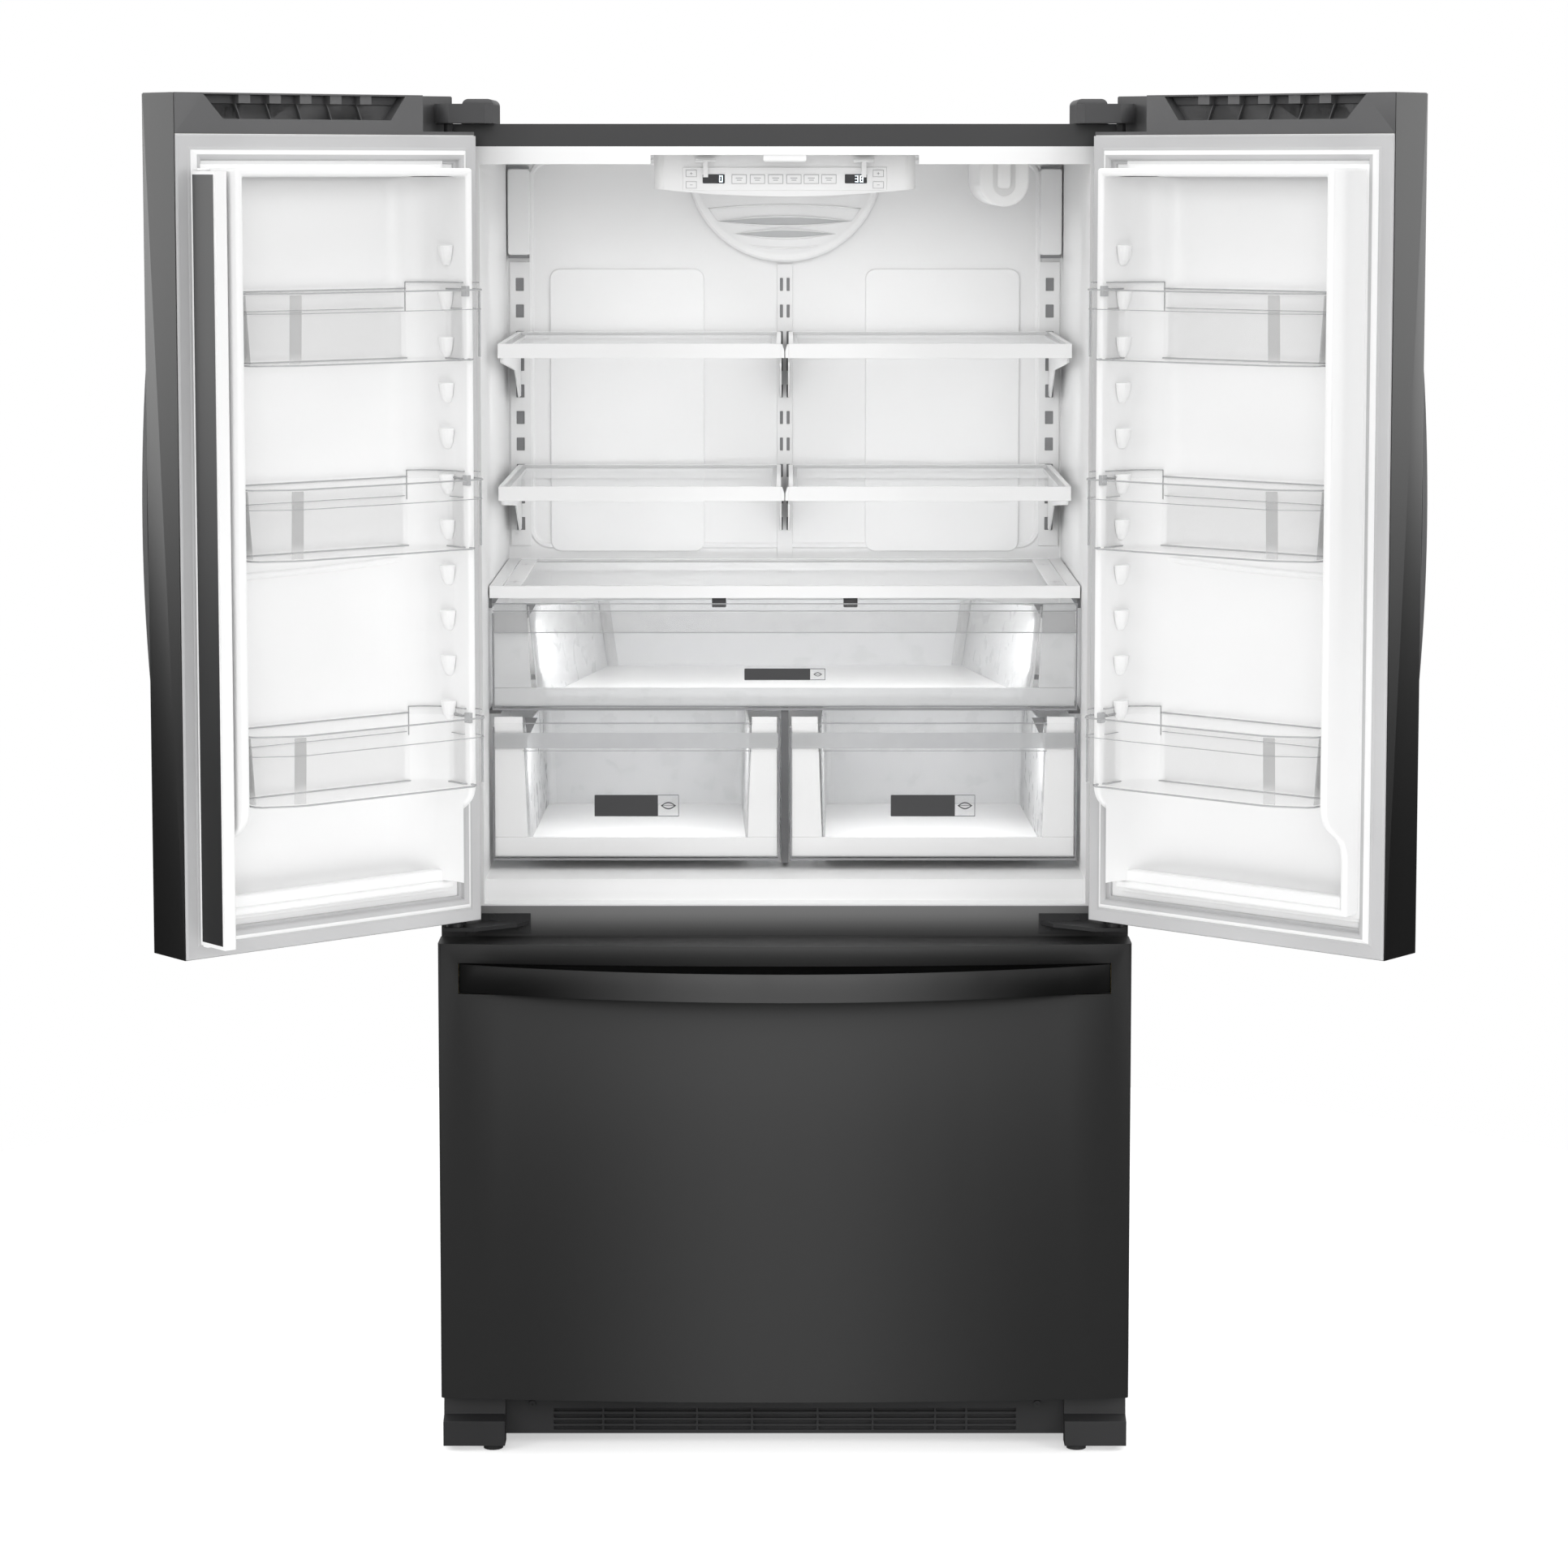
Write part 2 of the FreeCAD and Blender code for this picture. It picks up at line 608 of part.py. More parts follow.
def air_diffuser():
    shell = half_ellipse(DIFFUSER_HALF, DIFFUSER_DROP, DIFFUSER_FRONT, ROOM_DEPTH)
    inner = half_ellipse(DIFFUSER_HALF - DIFFUSER_WALL, DIFFUSER_DROP - DIFFUSER_WALL, DIFFUSER_FRONT + 4,
                         ROOM_DEPTH - 1)
    slits = [lens(half, z, height, DIFFUSER_FRONT - 7, DIFFUSER_FRONT + 13) for half, z, height in VENTS]
    return shell.cut([inner] + slits)


def filter_shape(inset, front, back):
    """A round-bottomed trough hung from the ceiling."""
    half = FILTER_R - inset
    trough = rod((FILTER_X, front, FILTER_Z), (FILTER_X, back, FILTER_Z), half)
    walls = box(FILTER_X - half, FILTER_X + half, front, back, FILTER_Z, ROOM_CEILING - inset)
    return trough.fuse(walls).removeSplitter()


def filter_housing():
    inside = filter_shape(FILTER_WALL, FILTER_FRONT - PAST, FILTER_BACK - 10)
    return filter_shape(0, FILTER_FRONT, FILTER_BACK).cut(inside)


def filter_cartridge():
    axis = FILTER_Z + 2
    body = rod((FILTER_X, FILTER_FRONT + 22, axis), (FILTER_X, FILTER_BACK - 12, axis), 25)
    cap = rod((FILTER_X, FILTER_FRONT + 8, axis), (FILTER_X, FILTER_FRONT + 22, axis), 28)
    grip = box(FILTER_X - 4, FILTER_X + 4, FILTER_FRONT - 4, FILTER_FRONT + 8, axis - 23, axis + 23)
    return fused([body, cap, grip])


def ladder_slot(x0, x1, z):
    half = LADDER_SLOT / 2
    return box(x0, x1, LADDER_FRONT - PAST, LADDER_FRONT + 2, z - half, z + half)


def shelf_ladders():
    side = box(-392.5, -363, LADDER_FRONT, ROOM_DEPTH, 1150, 1556)
    centre = box(-11, 11, LADDER_FRONT, ROOM_DEPTH, 1112, 1553)
    levels = [LADDER_FIRST - LADDER_PITCH * step for step in range(LADDER_SLOTS)]
    side_slots = [ladder_slot(-383.8, -372.2, z) for z in levels]
    centre_slots = [s for z in levels for s in both_sides(ladder_slot(-7.0, -2.6, z))]
    return both_sides(side.cut(side_slots)) + [centre.cut(centre_slots)]


def shelf_bracket(x0, top):
    """A cantilever arm with two hooks for the ladder."""
    back = LADDER_FRONT - 1
    under = top - SHELF_TRIM
    arm = [(130, under - 7), (130, under), (back, under), (back, top - 92), (500, top - 92), (420, top - 50)]
    hook = box(x0, x0 + BRACKET, LADDER_FRONT - 2, LADDER_FRONT + 2, top - 86, top - 77)
    return profile_x(arm, x0, x0 + BRACKET).fuse(hook)


def shelf_frame(top):
    ring = box(-SHELF_OUTER, -SHELF_INNER, SHELF_FRONT, SHELF_BACK, top - SHELF_TRIM, top)
    window = box(-SHELF_OUTER + 12, -SHELF_INNER - 12, SHELF_FRONT + 12, SHELF_BACK - 12, top - 30, top + 1)
    rest = top - GLASS_REST
    ledge = box(-SHELF_OUTER + 6, -SHELF_INNER - 6, SHELF_FRONT + 4, SHELF_BACK - 4, rest, top + 1)
    lightening = box(-SHELF_OUTER + 4, -SHELF_INNER - 4, SHELF_FRONT + 4, SHELF_BACK - 4, top - 20, top - 9)
    brackets = [shelf_bracket(-379, top), shelf_bracket(-6.8, top)]
    return fused([ring.cut([window, ledge, lightening])] + brackets)


def cover_frame():
    ring = box(-COVER_HALF, COVER_HALF, SHELF_FRONT, 518, COVER_TOP - COVER_TRIM, COVER_TOP)
    window = box(-COVER_HALF + 24, COVER_HALF - 24, SHELF_FRONT + 14, 500, COVER_TOP - 20, COVER_TOP + 1)
    rest = COVER_TOP - GLASS_REST
    ledge = box(-COVER_HALF + 17, COVER_HALF - 17, SHELF_FRONT + 7, 507, rest, COVER_TOP + 1)
    return ring.cut([window, ledge])


def shelf_frames():
    frames = [s for top in SHELF_LEVELS for s in both_sides(shelf_frame(top))]
    return frames + [cover_frame()]


def pane(x0, x1, y0, y1, top):
    low = top - GLASS_REST
    return box(x0, x1, y0, y1, low, low + GLASS)


def glass_panes():
    panes = []
    for top in SHELF_LEVELS:
        panes += both_sides(pane(-SHELF_OUTER + 6, -SHELF_INNER - 6, SHELF_FRONT + 4, SHELF_BACK - 4, top))
    panes.append(pane(-COVER_HALF + 17, COVER_HALF - 17, SHELF_FRONT + 7, 507, COVER_TOP))
    return panes


def crisper_rails():
    front = SHELF_FRONT + 17
    low, high = DELI_BOTTOM - 6.5, DELI_BOTTOM - 1
    top_rail = box(-ROOM_HALF, -DELI_HALF - 1, front, 520, DELI_TOP - 8, COVER_TOP - COVER_TRIM)
    deli_rail = box(-ROOM_HALF, -DELI_HALF + 10, front, 505, low, high)
    centre = box(-5, 5, front, 505, CRISPER_BOTTOM - 6, high)
    cross = box(-ROOM_HALF, ROOM_HALF, 505, 520, low, high)
    return both_sides(top_rail) + both_sides(deli_rail) + [centre, cross]


def drawer(x0, x1, z0, z1):
    """A clear drawer: open pan with a deeper, rimmed front."""
    front_back = SHELF_FRONT + FRONT_THICK
    pan = tray(x0 + 8, x1 - 8, front_back, DRAWER_BACK, z0 + 2, z1 - 14, PAN_WALL, PAN_CORNER)
    front = box(x0, x1, SHELF_FRONT, front_back, z0, z1)
    front = rounded(front, 3.0, lambda c: c.y < SHELF_FRONT + 4)
    pocket = box(x0 + 40, x1 - 40, SHELF_FRONT + PAN_WALL, front_back + PAST, z0 + 24, z1 - 24)
    back_wall = box(x0 + 30, x1 - 30, front_back, front_back + 2, z0 + 14, z1 - 16)
    return fused([front.cut(pocket), pan, back_wall])


def deli_drawer():
    return drawer(-DELI_HALF, DELI_HALF, DELI_BOTTOM, DELI_TOP)


def crisper():
    return drawer(-DELI_HALF, -CRISPER_INNER, CRISPER_BOTTOM, CRISPER_TOP)


# --- doors, drawn for the left door, closed ---
def hinge_holes(radius):
    return [rod((HINGE_X, HINGE_Y, 600), (HINGE_X, HINGE_Y, 1760), radius)]


def door_skin():
    skin = front_skin(DOOR_OUTER, DOOR_FREE, DOOR_BOTTOM, DOOR_TOP - 1)
    notch = box(DOOR_OUTER - 1, NOTCH_END, FRONT_SIDE + 4, 0, CAP_BOTTOM, DOOR_TOP + 1)
    pocket = box(POCKET_LEFT, POCKET_RIGHT, -100, -60, POCKET_BOTTOM, POCKET_TOP)
    return skin.cut([notch, pocket])


def door_core():
    core = soft_slab(DOOR_OUTER + 1.2, DOOR_FREE - 1.2, DOOR_BOTTOM + 9, CAP_BOTTOM, 1.2, DOOR_BACK - 3)
    pocket = box(POCKET_LEFT - 2, POCKET_RIGHT + 2, -100, -68, POCKET_BOTTOM - 2, POCKET_TOP + 2)
    return core.cut([pocket] + hinge_holes(10))


def cap_rib(x):
    """A small hook under the recess's upper side and a thin slanted rib below it."""
    floor = DOOR_BACK - CAP_RECESS_DEPTH - PAST
    hook = box(x - 2, x + 15, floor, floor + 16.5, CAP_RECESS_HIGH - 10.5, CAP_RECESS_HIGH + PAST)
    low, high = CAP_RECESS_LOW - PAST, CAP_RECESS_HIGH - 10
    slant = [(x + 12, high), (x + 13.6, high), (x + 5.6, low), (x + 4, low)]
    rib = polygon([(px, floor, pz) for px, pz in slant]).extrude(Vector(0, 5, 0))
    return [hook, rib]


def door_caps():
    top = soft_slab(DOOR_OUTER + 1.2, DOOR_FREE - 1.2, CAP_BOTTOM, DOOR_TOP, 1.2)
    notch = box(DOOR_OUTER - 1, NOTCH_END, FRONT_SIDE + 4, 0, CAP_BOTTOM + 4, DOOR_TOP + 1)
    high, low = CAP_RECESS_HIGH, CAP_RECESS_LOW
    recess_outline = [(HINGE_X + 88, high), (HINGE_X + 387, high), (HINGE_X + 359, low), (HINGE_X + 110, low)]
    recess = polygon([(x, DOOR_BACK + PAST, z) for x, z in recess_outline])
    recess = recess.extrude(Vector(0, -CAP_RECESS_DEPTH - PAST, 0))
    ribs = [s for x in CAP_RIBS for s in cap_rib(HINGE_X + x)]
    top = top.cut([notch, recess] + hinge_holes(PIN_R + PIN_CLEARANCE)).fuse(ribs).removeSplitter()
    bottom = soft_slab(DOOR_OUTER + 1.2, DOOR_FREE - 1.2, DOOR_BOTTOM, DOOR_BOTTOM + 9, 1.2)
    bottom = bottom.cut(hinge_holes(PIN_R + PIN_CLEARANCE)[0])
    return [top, bottom]


def dike_profile(inset, x):
    """Side outline of the liner's raised border: deep above, swept back to shallow below."""
    low = DIKE_BOTTOM + inset
    high = DIKE_TOP - inset
    foot = DOOR_BACK - 1
    sweep = Part.BezierCurve()
    bend = [(DIKE_SHALLOW, 838), (DIKE_SHALLOW, 878), (DIKE_DEPTH, 868), (DIKE_DEPTH, 908)]
    sweep.setPoles([Vector(x, y, z) for y, z in bend])
    corners = [(DIKE_DEPTH, 908), (DIKE_DEPTH, high), (foot, high), (foot, low), (DIKE_SHALLOW, low),
               (DIKE_SHALLOW, 838)]
    points = [Vector(x, y, z) for y, z in corners]
    lines = [Part.makeLine(a, b) for a, b in zip(points[:-1], points[1:])]
    return face_of(lines + [sweep.toShape()])


def door_liner():
    plate = box(DOOR_OUTER + 2, DOOR_FREE - 2, DOOR_BACK - 3, DOOR_BACK, DOOR_BOTTOM + 10, CAP_BOTTOM - 2)
    rim = dike_profile(0, DIKE_OUTER).extrude(Vector(DIKE_FREE - DIKE_OUTER, 0, 0))
    inside = dike_profile(DIKE_WALL, DIKE_OUTER + DIKE_WALL)
    inside = inside.extrude(Vector(DIKE_FREE - DIKE_OUTER - 2 * DIKE_WALL, 0, 0))
    return fused([plate, rim.cut(inside)])


def door_gasket():
    flange = frame_ring(DOOR_OUTER + 2, DOOR_FREE - 1, DOOR_BOTTOM + 1, CAP_BOTTOM - 1,
                        DOOR_BACK, FLANGE_BACK, FLANGE_WIDTH)
    bead = frame_ring(DOOR_OUTER + 21, DOOR_FREE - 9, DOOR_BOTTOM + 12, CAP_BOTTOM - 20,
                      FLANGE_BACK, GASKET_FACE, BEAD_WIDTH)
    return fused([flange, bead])


def crescent_bar(half, depth, thick, base):
    """A bar seen end on: chord at the base, bowed outward by depth."""
    outer = Part.Arc(Vector(-half, base, 0), Vector(0, base - depth, 0), Vector(half, base, 0)).toShape()
    back = base + thick
    inner = Part.Arc(Vector(-half, back, 0), Vector(0, back - depth, 0), Vector(half, back, 0)).toShape()
    ends = [Part.makeLine(Vector(x, base, 0), Vector(x, back, 0)) for x in (-half, half)]
    return face_of([outer, inner] + ends)


def door_handle():
    middle = (POCKET_TOP + POCKET_BOTTOM) / 2
    half = (POCKET_TOP - POCKET_BOTTOM) / 2
    bar = crescent_bar(half - 2, GRIP_DEPTH, GRIP_THICK, 0).extrude(Vector(0, 0, POCKET_RIGHT - POCKET_LEFT))
    bar.rotate(Vector(0, 0, 0), Vector(0, 1, 0), 90)
    bar.translate(Vector(POCKET_LEFT, bow_y(-47) - 1, middle))
    outer = box(POCKET_LEFT, POCKET_RIGHT, -88.5, -72, POCKET_BOTTOM, POCKET_TOP)
    wall = POCKET_WALL
    inner = box(POCKET_LEFT + wall, POCKET_RIGHT - wall, -90, -74, POCKET_BOTTOM + wall, POCKET_TOP - wall)
    return [fused([bar, outer.cut(inner)])]


def door_bin(bottom):
    """A clear bin: narrow where it drops between the borders, wider in front of them."""
    lip = DIKE_DEPTH + 2
    outline = [(-375, BIN_BACK), (-375, lip), (-391, lip), (-391, lip + 3),
               (-366, BIN_FRONT), (-74, BIN_FRONT), (-50, lip + 3), (-50, BIN_BACK)]
    body = profile_z(outline, bottom, bottom + BIN_HEIGHT)
    inner = [(-373, BIN_BACK + 2), (-373, lip + 2), (-388, lip + 2),
             (-365, BIN_FRONT - 2), (-75, BIN_FRONT - 2), (-52, lip + 2), (-52, BIN_BACK + 2)]
    hollow = profile_z(inner, bottom + BIN_WALL, bottom + BIN_HEIGHT + PAST)
    return body.cut(hollow)


def door_bins():
    return [door_bin(bottom) for bottom in BIN_LEVELS]


def pivot_rod(z0, z1, radius):
    return rod((PIVOT_X, PIVOT_Y, z0), (PIVOT_X, PIVOT_Y, z1), radius)


def flip_mullion():
    """The folding bar, bored at both ends for its pivot pins, and its steel face."""
    bar = box(-32, -14.6, 6, 60, MULLION_BOTTOM, MULLION_TOP)
    bar = rounded(bar, 3.0, lambda c: c.x < -20)
    bore_r = PIVOT_PIN_R + PIN_CLEARANCE
    low_bore = pivot_rod(MULLION_BOTTOM, MULLION_BOTTOM + PIVOT_BORE, bore_r)
    high_bore = pivot_rod(MULLION_TOP - PIVOT_BORE, MULLION_TOP, bore_r)
    face = box(-14.6, -14, 9, 57, MULLION_BOTTOM + 4, MULLION_TOP - 4)
    return [bar.cut([low_bore, high_bore]), face]


def pivot_lugs():
    """Two lugs on the liner's border with the pins that carry the folding bar."""
    top_z = MULLION_TOP + PIVOT_GAP
    bottom_z = MULLION_BOTTOM - PIVOT_GAP
    top_lug = box(DIKE_FREE - 1, -18, 4, 15, top_z, top_z + PIVOT_LUG)
    bottom_lug = box(-42, -18, 4, 15, bottom_z - PIVOT_LUG, bottom_z)
    stalk = box(-42, -37, 4, 15, bottom_z - PIVOT_LUG, DIKE_BOTTOM + 1)
    low_pin = pivot_rod(bottom_z - 1, MULLION_BOTTOM + PIVOT_BORE - 1, PIVOT_PIN_R)
    high_pin = pivot_rod(MULLION_TOP - PIVOT_BORE + 1, top_z + 1, PIVOT_PIN_R)
    return [top_lug, bottom_lug, stalk, low_pin, high_pin]


# --- freezer drawer ---
def freezer_skin():
    half = HALF_WIDTH - SHEET
    inner = soft_slab(-half, half, DRAWER_BOTTOM + SHEET, DRAWER_TOP - SHEET, SHEET, DOOR_BACK + 1)
    skin = soft_slab(-HALF_WIDTH, HALF_WIDTH, DRAWER_BOTTOM, DRAWER_TOP).cut(inner)
    pocket = box(-HANDLE_HALF - 0.6, HANDLE_HALF + 0.6, -100, -60, HANDLE_BOTTOM, HANDLE_TOP)
    return skin.cut(pocket)


def freezer_core():
    half = HALF_WIDTH - 1.2
    core = soft_slab(-half, half, DRAWER_BOTTOM + 2, DRAWER_TOP - 2, 1.2, DOOR_BACK - 3)
    return core.cut(box(-HANDLE_HALF - 3, HANDLE_HALF + 3, -100, -48, HANDLE_BOTTOM - 2, HANDLE_TOP + 2))


def freezer_handle():
    tall = HANDLE_TOP - HANDLE_BOTTOM - 4
    bar = crescent_bar(HANDLE_HALF, BAR_DEPTH, BAR_THICK, BAR_BASE).extrude(Vector(0, 0, tall))
    bar.translate(Vector(0, 0, HANDLE_BOTTOM + 2))
    half, low, high, wall = HANDLE_HALF, HANDLE_BOTTOM, HANDLE_TOP, POCKET_WALL
    behind = POCKET_BACK + 1
    back = box(-half, half, POCKET_BACK, POCKET_BACK + wall, low, high)
    top = bowed_slab(-half, half, high - wall, high, wall, behind)
    bottom = bowed_slab(-half, half, low, low + wall, wall, behind)
    end = box(-half, -half + wall, BAR_BASE, behind, low, high)
    return fused([bar, back, top, bottom] + both_sides(end))


def freezer_front_liner():
    half = HALF_WIDTH - 3
    plate = box(-half, half, DOOR_BACK - 3, DOOR_BACK, DRAWER_BOTTOM + 4, DRAWER_TOP - 4)
    plateau = box(-384, 384, DOOR_BACK, 8, 128, 645)
    return fused([plate, plateau.cut(box(-376, 376, DOOR_BACK - 1, 5, 136, 637))])


def freezer_gasket():
    half = HALF_WIDTH - 2
    flange = frame_ring(-half, half, DRAWER_BOTTOM + 2, DRAWER_TOP - 2, DOOR_BACK, FLANGE_BACK, FLANGE_WIDTH)
    bead = frame_ring(-half + 30, half - 30, DRAWER_BOTTOM + 28, DRAWER_TOP - 11,
                      FLANGE_BACK, GASKET_FACE, BEAD_WIDTH)
    return fused([flange, bead])


def freezer_rails_fixed():
    channel = box(-ROOM_HALF, -382, 14, SLIDE_BACK, SLIDE_BOTTOM, SLIDE_TOP)
    hollow = box(-392, -382 + PAST, 13, SLIDE_BACK + PAST, SLIDE_BOTTOM + 3, SLIDE_TOP - 3)
    return both_sides(channel.cut(hollow))


def freezer_rails_moving():
    blade = box(-390, -378, 8, SLIDE_BACK, SLIDE_BOTTOM + 4.5, SLIDE_TOP - 4.5)
    web = box(-379.5, -372, 8, SLIDE_BACK, SLIDE_BOTTOM - 4, SLIDE_TOP + 2)
    foot = box(-384, -364, 8, 12, SLIDE_BOTTOM - 30, SLIDE_TOP + 30)
    return both_sides(fused([blade, web, foot]))


def freezer_bin():
    lip_z = SLIDE_TOP + 2
    bin_body = tray(-BIN_HALF, BIN_HALF, 13, 322, 132, lip_z + 4, PAN_WALL, BASKET_CORNER)
    lip = box(-371.8, -BIN_HALF, 13, 322, lip_z, lip_z + 4)
    return fused([bin_body] + both_sides(lip))


def freezer_basket():
    basket = tray(-BASKET_HALF, BASKET_HALF, 34, 428, BASKET_BOTTOM, BASKET_TOP, PAN_WALL, BASKET_CORNER)
    lip = box(-388, -BASKET_HALF + 1, 34, 428, BASKET_BOTTOM - 8, BASKET_BOTTOM + 2)
    return fused([basket] + both_sides(lip))


# --- machinery ---
def compressor():
    can = rod((CAN_X, FAN_Y, 62), (CAN_X, FAN_Y, CAN_TOP), CAN_R)
    can = can.makeFillet(26.0, [e for e in can.Edges if e.CenterOfMass.z > CAN_TOP - 40 and e.Length > 300])
    foot = box(CAN_X - 90, CAN_X + 90, FAN_Y - COIL_HALF, FAN_Y + COIL_HALF, PLINTH + 3, PLINTH + 8)
    bushes = [rod((x, FAN_Y + y, PLINTH), (x, FAN_Y + y, PLINTH + 3), 10)
              for x in (CAN_X - 75, CAN_X + 75) for y in (-PLINTH, PLINTH)]
    pipe = rod((CAN_X + CAN_R, FAN_Y, 130), (CAN_X + 110, FAN_Y, 130), 4)
    return fused([can, foot, pipe] + bushes)


def condenser():
    left, right = CONDENSER_LEFT, CONDENSER_RIGHT
    core = box(left, right, FAN_Y - COIL_HALF, FAN_Y + COIL_HALF, 62, 240)
    gaps = []
    for i in range(5):
        front = FAN_Y - 60 + 30 * i
        gaps.append(box(left - PAST, right + PAST, front, front + 15, 70, 232))
    base = box(left - 10, right + 10, FAN_Y - COIL_HALF - 4, FAN_Y + COIL_HALF + 4, PLINTH, 62)
    return fused([core.cut(gaps), base])


def fan_stand(x):
    back = x + FAN_RING_WIDTH
    bore = rod((x - PAST, FAN_Y, FAN_Z), (back + PAST, FAN_Y, FAN_Z), FAN_BORE_R)
    ring = rod((x, FAN_Y, FAN_Z), (back, FAN_Y, FAN_Z), FAN_RING_R).cut(bore)
    foot = box(x, back, FAN_Y - 60, FAN_Y + 60, PLINTH, 106).cut(bore)
    spider = box(x, x + 4, FAN_Y - 80, FAN_Y + 80, FAN_Z - 5, FAN_Z + 5)
    motor = rod((x - 20, FAN_Y, FAN_Z), (x + 8, FAN_Y, FAN_Z), MOTOR_R)
    return fused([ring, foot, motor, spider])


def blades(radius, hub, depth):
    """A fan about the Z axis, its blades set at a slant."""
    shapes = [Part.makeCylinder(hub, depth)]
    for i in range(BLADES):
        blade = Part.makeBox(radius - hub + 2, 20, 1.8, Vector(hub - 2, -10, 0))
        blade.rotate(Vector(0, 0, 0), Vector(1, 0, 0), BLADE_SLANT)
        blade.translate(Vector(0, 0, depth / 2))
        blade.rotate(Vector(0, 0, 0), Vector(0, 0, 1), 360.0 * i / BLADES)
        shapes.append(blade)
    return fused(shapes)


def condenser_fan():
    fan = blades(70, 16, 12)
    fan.rotate(Vector(0, 0, 0), Vector(0, 1, 0), 90)
    fan.translate(Vector(8.6, FAN_Y, FAN_Z))
    return fan


def evaporator():
    fins = box(-FIN_HALF, FIN_HALF, 446, 478, 340, 500)
    first = -FIN_HALF + 4
    gaps = [box(first + FIN_PITCH * i, first + 12 + FIN_PITCH * i, 445, 479, 348, 492) for i in range(20)]
    return fins.cut(gaps)


def cold_rod(y0, y1, radius):
    """A rod along the cold fan's axis."""
    return rod((0, y0, COLD_FAN_Z), (0, y1, COLD_FAN_Z), radius)


def evaporator_cover():
    half = ROOM_HALF - 1
    panel = box(-half, half, COVER_FRONT, COVER_BACK, FREEZER_STEP + 1, FREEZER_TOP - 1)
    fan_way = cold_rod(COVER_FRONT - 8, COVER_BACK + 9, 56)
    intakes = [box(-300 + 75 * i, -260 + 75 * i, COVER_FRONT - 8, COVER_BACK + 9, 312, 322) for i in range(9)]
    shell = panel.cut([fan_way] + intakes)
    ring = cold_rod(COVER_BACK, COVER_BACK + 4, 62).cut(fan_way)
    arm = box(-60, 60, COVER_BACK, COVER_BACK + 4, COLD_FAN_Z - 4, COLD_FAN_Z + 4)
    hub = cold_rod(COVER_BACK, COVER_BACK + 5, 16)
    return fused([shell, ring, arm, hub])


def evaporator_fan():
    fan = blades(50, 13, 10)
    fan.rotate(Vector(0, 0, 0), Vector(1, 0, 0), -90)
    fan.translate(Vector(0, 450, COLD_FAN_Z))
    return fan


def machine_cover():
    panel = box(-HALF_WIDTH + 2, HALF_WIDTH - 2, CASE_DEPTH - 2, CASE_DEPTH, CASE_BOTTOM + 6, MACHINE_TOP)
    vents = []
    for column in range(9):
        for row in range(4):
            x = -340 + 80 * column
            z = 100 + 42 * row
            vents.append(box(x, x + 50, CASE_DEPTH - 5, CASE_DEPTH + 5, z, z + 8))
    way = rod((INLET_X, CASE_DEPTH - 5, INLET_Z), (INLET_X, CASE_DEPTH + 5, INLET_Z), 16)
    return panel.cut(vents + [way])


def water_inlet():
    front, back = CASE_DEPTH - 60, CASE_DEPTH - 14
    top = INLET_Z + 16
    body = box(INLET_X - 18, INLET_X + 18, front, back, INLET_Z - 16, top)
    coil = rod((INLET_X, CASE_DEPTH - 40, top), (INLET_X, CASE_DEPTH - 40, top + 26), 14)
    spout = rod((INLET_X, back, INLET_Z), (INLET_X, CASE_DEPTH, INLET_Z), 8)
    bracket = box(INLET_X + 18, HALF_WIDTH - 1, CASE_DEPTH - 50, CASE_DEPTH - 47, INLET_Z - 10, INLET_Z + 10)
    return fused([body, coil, spout, bracket])


def build_case():
    save("cabinet_wrapper", [cabinet_wrapper()])
    save("cabinet_back", [cabinet_back()])
    save("cabinet_foam", [cabinet_foam()])
    save("fridge_liner", [fridge_liner()])
    save("freezer_liner", [freezer_liner()])
    save("mullion_rail", [mullion_rail()])
    save("base_frame", [base_frame()] + roller_pins())
    save("base_grille", [base_grille()])
    save("levelling_legs", levelling_legs())
    save("rear_rollers", rear_rollers())
    save("door_hinges", both_sides(top_hinge()) + both_sides(centre_hinge()))
    save("hinge_covers", both_sides(hinge_cover()))
    save("screws", screws())


def build_room():
    save("control_housing", [control_housing()])
    save("control_face", [control_face()])
    save("light_switch_left", [light_switch()])
    save("light_switch_right", [mirrored(light_switch())])
    save("mullion_guide", [mullion_guide()])
    save("air_diffuser", [air_diffuser()])
    save("filter_housing", [filter_housing()])
    save("filter_cartridge", [filter_cartridge()])
    save("shelf_ladders", shelf_ladders())
    save("shelf_frames", shelf_frames())
    save("glass_panes", glass_panes())
    save("crisper_rails", crisper_rails())
    save("deli_drawer", [deli_drawer()])
    save("left_crisper", [crisper()])
    save("right_crisper", [mirrored(crisper())])


def build_doors():
    save_door("skin", [door_skin()])
    save_door("core", [door_core()])
    save_door("caps", door_caps())
    save("left_door_liner", [opened(fused([door_liner()] + pivot_lugs()))])
    save("right_door_liner", [mirrored(opened(door_liner()))])
    save_door("gasket", [door_gasket()])
    save_door("handle", door_handle())
    save_door("bins", door_bins())
    save("flip_mullion", [opened(s) for s in flip_mullion()])


def build_freezer():
    save("freezer_front_skin", [freezer_skin()])
    save("freezer_front_core", [freezer_core()])
    save("freezer_front_liner", [freezer_front_liner()])
    save("freezer_gasket", [freezer_gasket()])
    save("freezer_handle", [freezer_handle()])
    save("freezer_rails_fixed", freezer_rails_fixed())
    save("freezer_rails_moving", freezer_rails_moving())
    save("freezer_bin", [freezer_bin()])
    save("freezer_basket", [freezer_basket()])


def build_machinery():
    save("compressor", [compressor()])
    save("condenser", [condenser(), fan_stand(-4)])
    save("condenser_fan", [condenser_fan()])
    save("evaporator", [evaporator()])
    save("evaporator_cover", [evaporator_cover()])
    save("evaporator_fan", [evaporator_fan()])
    save("machine_cover", [machine_cover()])
    save("water_inlet", [water_inlet()])


